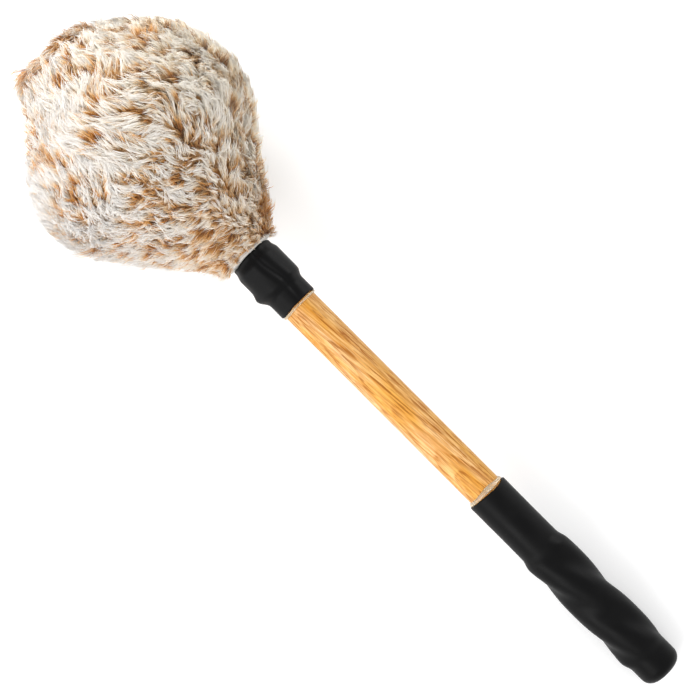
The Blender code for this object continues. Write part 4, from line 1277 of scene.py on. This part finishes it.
# %% Bend the hairs
CURVE_RADIUS = 75 * MM                   # of the head under a lock
ROOT_SPREAD = 0.85 * MM
ROOTS_CLOSED = 0.82                      # how much of that spread the tips give up
STRAY = 0.44 * MM
TAPER = 0.62                             # what a hair loses of its thickness before its tip
UV_INSET = 0.02                          # keeps the hair's ends off the edge of the map
OUTWARD_SHARE = 0.35                     # how much a hair's normals lean to the head's own


def hair_lines(owner, rings, share, random):
    """Centre lines (hairs, rings + 1, 3) and the outward direction of each hair.

    share is the hairs' size beside the guard hair of the same lock.
    """
    count = len(owner)
    off = random.normal(size=(count, 2)) * ROOT_SPREAD
    root_off = off[:, :1] * lock_crown[owner] + off[:, 1:] * lock_round[owner]
    own_reach = share * reach[owner] * (1 + 0.12 * random.normal(size=count))
    own_rise = share * rise[owner] * (1 + 0.10 * random.normal(size=count))
    v = np.linspace(0.0, 1.0, rings + 1)[None, :, None]
    height = own_rise[:, None, None] * (1 - (1 - v) ** 2)
    ahead = own_reach[:, None, None] * (0.35 * v + 0.65 * v * v)
    drop = ahead**2 / (2 * CURVE_RADIUS)
    stray = random.normal(size=(count, 1, 3)) * STRAY
    gather = (lock_pull[owner] - ROOTS_CLOSED * root_off)[:, None, :] * v**1.3
    lines = (lock_point[owner] + root_off)[:, None, :] + ahead * forward[owner][:, None, :]
    lines = lines + (height - drop) * lock_out[owner][:, None, :] + gather + stray * v
    return lines, lock_out[owner]


def hair_mesh(name, lines, outwards, tone, width):
    """Three-sided spikes along the centre lines, with tone and place along the hair as UV."""
    hairs, stops = lines.shape[:2]
    rings = stops - 1
    ahead = unit(np.gradient(lines, axis=1))
    across = unit(np.cross(ahead, outwards[:, None, :]))
    upward = np.cross(ahead, across)
    v = np.arange(rings) / rings
    thick = width[:, None] * (1.0 - TAPER * v**1.5)[None, :]
    corner_turn = TURN * np.arange(3) / 3 + math.pi / 2
    ring = (np.cos(corner_turn)[None, None, :, None] * across[:, :rings, None, :]
            + np.sin(corner_turn)[None, None, :, None] * upward[:, :rings, None, :])
    ring = lines[:, :rings, None, :] + thick[:, :, None, None] * ring
    points = np.concatenate([ring.reshape(hairs, -1, 3), lines[:, -1:, :]], axis=1)
    per_hair = 3 * rings + 1
    base = (np.arange(hairs) * per_hair)[:, None, None]
    sides = np.array([[3 * k + j, 3 * k + (j + 1) % 3, 3 * k + 3 + (j + 1) % 3, 3 * k + 3 + j]
                      for k in range(rings - 1) for j in range(3)])
    top = 3 * (rings - 1)
    ends = np.array([[top + j, top + (j + 1) % 3, 3 * rings] for j in range(3)] + [[2, 1, 0]])
    quads = (base + sides[None]).reshape(-1, 4)
    triangles = (base + ends[None]).reshape(-1, 3)
    mesh = build_mesh(name, lift_off_floor(points.reshape(-1, 3)), quads, triangles)
    radial = (ring - lines[:, :rings, None, :]).reshape(hairs, -1, 3)
    radial = unit(np.concatenate([radial, np.zeros((hairs, 1, 3))], axis=1))
    facing = unit(OUTWARD_SHARE * outwards[:, None, :] + (1 - OUTWARD_SHARE) * radial)
    mesh.normals_split_custom_set_from_vertices(facing.reshape(-1, 3).tolist())
    along_hair = UV_INSET + (1 - 2 * UV_INSET) * np.concatenate([np.repeat(v, 3), [1.0]])
    uv = np.stack([np.repeat(tone, per_hair), np.tile(along_hair, hairs)], axis=1)
    corners = np.concatenate([quads.ravel(), triangles.ravel()])
    layer = mesh.uv_layers.new(name="OFBake")
    layer.uv.foreach_set("vector", uv[corners].astype(np.float32).ravel())
    return mesh


# %% [markdown]
# ## The frosted pile's colours
# The colour of a hair depends on two numbers that its UV map carries: across the map go eight tints
# from cool white to warm cream, each with a share of brown, and up the map goes the place along the
# hair. A pattern that is only a matter of the UV map can be baked without loss.

# %% The pile material
TINTS = 8
BROWN_SHIFT = 0.90                       # how far up the hair, as a share of it, the brown can move


def make_pile_material():
    """Brown roots, golden middles and pale tips. More brown moves the whole ramp up the hair.

    Under warm tips the roots are a greyer brown than under white ones.
    """
    material, tree, shader = new_material("frosted_pile")
    uv = node(tree, "ShaderNodeUVMap", uv_map="OFBake").outputs[0]
    split = node(tree, "ShaderNodeSeparateXYZ", {0: uv}).outputs
    spread_tints = calculate(tree, "MULTIPLY", split[0], float(TINTS))
    tint = calculate(tree, "DIVIDE", calculate(tree, "FLOOR", spread_tints), TINTS - 1.0)
    share = remap(tree, calculate(tree, "FRACT", spread_tints), 0.1, 0.9)
    moved = calculate(tree, "SUBTRACT", split[1], calculate(tree, "MULTIPLY", share, BROWN_SHIFT))
    level = remap(tree, moved, -BROWN_SHIFT, 1.0)
    golden = steps(
        tree, level,
        (0.18, (0.22, 0.064, 0.006)), (0.32, (0.50, 0.168, 0.020)), (0.43, (0.84, 0.40, 0.090)),
        (0.52, (0.95, 0.72, 0.48)), (0.61, (0.97, 0.87, 0.77)), (0.76, (0.98, 0.940, 0.905)),
    )
    grey = steps(
        tree, level,
        (0.18, (0.11, 0.060, 0.028)), (0.32, (0.26, 0.150, 0.070)), (0.43, (0.52, 0.34, 0.170)),
        (0.52, (0.80, 0.64, 0.42)), (0.61, (0.92, 0.82, 0.64)), (0.76, (0.97, 0.92, 0.82)),
    )
    roots = blend(tree, tint, golden, grey)
    tips = blend(tree, tint, (0.985, 0.965, 0.950), (0.98, 0.90, 0.74))
    colour = blend(tree, remap(tree, level, 0.72, 0.98), roots, tips)
    connect(tree, shader.inputs, {
        "Base Color": colour,
        "Roughness": 0.7,
        "Specular IOR Level": 0.12,
        "Sheen Weight": 0.35,
        "Sheen Tint": (1.0, 0.96, 0.90),
        "Sheen Roughness": 0.5,
    })
    return material


PILE = make_pile_material()


def tone_of(brown, warmth, random):
    """The UV map's first number: which tint, and the share of brown inside it."""
    tint = np.round(warmth * (TINTS - 1) + random.normal(size=len(warmth)) * 0.5)
    tint = np.clip(tint, 0, TINTS - 1)
    share = np.clip(brown + 0.06 * random.normal(size=len(brown)), 0.0, 1.0)
    return (tint + 0.1 + 0.8 * share) / TINTS


# %% [markdown]
# ## Two lengths of hair
# Long guard hair makes the locks, and shorter hair under it closes the gaps. Each kind is cut into
# bands from the neck to the crown, so that no mesh grows too heavy for the exported model.

# %% Grow the pile in bands from the neck to the crown
HAIR_THICKNESS = 0.23 * MM


def grow(name, bands, per_lock, rings, share, extra_brown):
    """One kind of hair over the whole head, in bands from the neck to the crown."""
    owner = np.repeat(np.argsort(lock_length, kind="stable"), per_lock)
    for band, members in enumerate(np.array_split(owner, bands)):
        lines, outwards = hair_lines(members, rings, share, random)
        tone = tone_of(brown[members] + extra_brown, warmth[members], random)
        width = HAIR_THICKNESS * random.uniform(0.75, 1.2, len(members))
        label = f"{name}_{band + 1}"
        add_piece(label, hair_mesh(label, lines, outwards, tone, width), PILE)


grow("guard_hair", bands=6, per_lock=4, rings=3, share=1.0, extra_brown=0.0)
grow("under_hair", bands=4, per_lock=4, rings=2, share=0.74, extra_brown=0.06)

# %% [markdown]
# ## What is inside
# The inner pieces can't be seen, but they are part of the model and keep their shapes. Each gets the
# material that it would have on a bench: wood, zinc-plated steel, felt, foam, knitted cotton, cord.

# %% Materials of the inner pieces


def make_steel():
    """Zinc-plated steel with a faint turned grain."""
    material, tree, shader = new_material("zinc_steel")
    pattern = use_group(tree, mottle, Vector=shaft_coordinates(tree), Scale=400.0)
    connect(tree, shader.inputs, {
        "Base Color": blend(tree, pattern["Broad"], (0.52, 0.53, 0.55), (0.66, 0.66, 0.68)),
        "Roughness": remap(tree, pattern["Broad"], 0.3, 0.7, 0.28, 0.42),
        "Metallic": 1.0,
    })
    return material


def give(material, *names):
    """Put a material on CAD nodes."""
    for name in names:
        nodes[name].data.materials.clear()
        nodes[name].data.materials.append(material)


STEEL = make_steel()
CORE_WOOD = make_oak("core_wood", (0.62, 0.42, 0.24), (0.66, 0.46, 0.28), (0.45, 0.26, 0.12),
                     (0.30, 0.16, 0.07), (0.52, 0.34, 0.18), ring_width=0.004, slant=0.02)
COTTON = make_soft("cotton_cord", (0.50, 0.46, 0.40), (0.70, 0.66, 0.58), 2200.0)
THREAD = make_soft("seam_thread", (0.06, 0.035, 0.025), (0.14, 0.09, 0.06), 3000.0)
FELT = make_soft("wool_felt", (0.34, 0.32, 0.30), (0.48, 0.46, 0.43), 1300.0)
FOAM = make_soft("foam", (0.66, 0.60, 0.38), (0.80, 0.75, 0.54), 1000.0)
give(STEEL, "core_washer", "core_screw")
give(CORE_WOOD, "head_core")
give(COTTON, "grip_cord_1", "grip_cord_2", "grip_cord_3")
give(COTTON, "neck_drawstring", "neck_binding", "inner_cover_tie")
give(THREAD, "crown_seam_thread")
give(FELT, "felt_wrap", "front_pad")
give(FOAM, "head_padding")
give(BACKING, "inner_cover")

# %% [markdown]
# ## The floor
# The floor is pale and lit by the same lamps as the mallet, so it keeps the mallet's shadow. What the
# camera and reflections see of it is lifted to white.

# %% The floor
FLOOR_HALF = 6.0                         # half of its side, in metres
FLOOR_LIFT = 0.17


def seen_rays(tree):
    """1 for rays of the camera and those that gloss and glass send on, and 0 for the rest."""
    path = node(tree, "ShaderNodeLightPath").outputs
    sent_on = calculate(tree, "MAXIMUM", path["Is Glossy Ray"], path["Is Transmission Ray"])
    return calculate(tree, "MAXIMUM", path["Is Camera Ray"], sent_on)


def make_floor():
    """A wide pale floor, with a glow that only the camera and reflections see."""
    material = bpy.data.materials.new("pale_floor")
    material.use_nodes = True
    tree = material.node_tree
    tree.nodes.clear()
    lift = calculate(tree, "MULTIPLY", seen_rays(tree), FLOOR_LIFT)
    lit = node(tree, "ShaderNodeBsdfDiffuse", {"Color": (0.92, 0.92, 0.92)}).outputs[0]
    glow = node(tree, "ShaderNodeEmission", {"Color": (1.0, 1.0, 1.0), "Strength": lift}).outputs[0]
    both = node(tree, "ShaderNodeAddShader", {0: lit, 1: glow}).outputs[0]
    node(tree, "ShaderNodeOutputMaterial", {"Surface": both})
    corners = np.array([(-1.0, -1.0, 0.0), (1.0, -1.0, 0.0), (1.0, 1.0, 0.0), (-1.0, 1.0, 0.0)])
    mesh = build_mesh("floor", FLOOR_HALF * corners, np.array([[0, 1, 2, 3]]))
    mesh.materials.append(material)
    floor = add_object("floor", mesh)


make_floor()

# %% [markdown]
# ## Light
# A large soft lamp stands above the side that the head's paler half faces, where it also draws the
# broad highlight along the sleeves. Three more stand lower, on both sides of the head and in front of
# its crown, and light its edge. The sky lights the rest evenly.

# %% Lamps and sky
SKY_STRENGTH = 0.81
middle = BUTT + 0.30 * ALONG
head_middle = BUTT + BELLY * ALONG
LAMPS = (
    # name, what it faces, its place from there in metres, size, power in watts
    ("key_lamp", middle, -0.18 * ALONG + 1.05 * SIDE - 1.10 * UNDER, 0.8, 10.0),
    ("side_lamp", head_middle, 0.10 * ALONG + 1.30 * SIDE - 0.35 * UNDER, 0.7, 3.5),
    ("far_side_lamp", head_middle, 0.10 * ALONG - 1.30 * SIDE - 0.35 * UNDER, 0.7, 6.5),
    ("crown_lamp", head_middle, 1.35 * ALONG - 0.20 * SIDE - 0.35 * UNDER, 0.7, 13.0),
)


def make_lamp(name, target, away, size, power):
    """A square soft lamp that faces its target, from away off it."""
    data = bpy.data.lights.new(name, "AREA")
    data.shape = "SQUARE"
    data.size = size
    data.energy = power
    back = unit(away)
    right = unit(np.cross((0.0, 0.0, 1.0), back))
    stand(add_object(name, data), right, np.cross(back, right), back, target + away)


def make_sky(strength):
    """An even white sky, which the camera sees as plain white."""
    world = bpy.data.worlds.new("studio")
    bpy.context.scene.world = world
    world.use_nodes = True
    tree = world.node_tree
    connect(tree, tree.nodes["Background"].inputs, {
        "Color": (1.0, 1.0, 1.0),
        "Strength": remap(tree, seen_rays(tree), 0.0, 1.0, strength, 1.0),
    })


make_sky(SKY_STRENGTH)
for lamp in LAMPS:
    make_lamp(*lamp)
print(f"{len(LAMPS)} lamps and a sky of {SKY_STRENGTH}")

# %% [markdown]
# ## Finish
# The colours are shown with the Standard view transform.

# %% Finish
bpy.context.scene.view_settings.view_transform = "Standard"
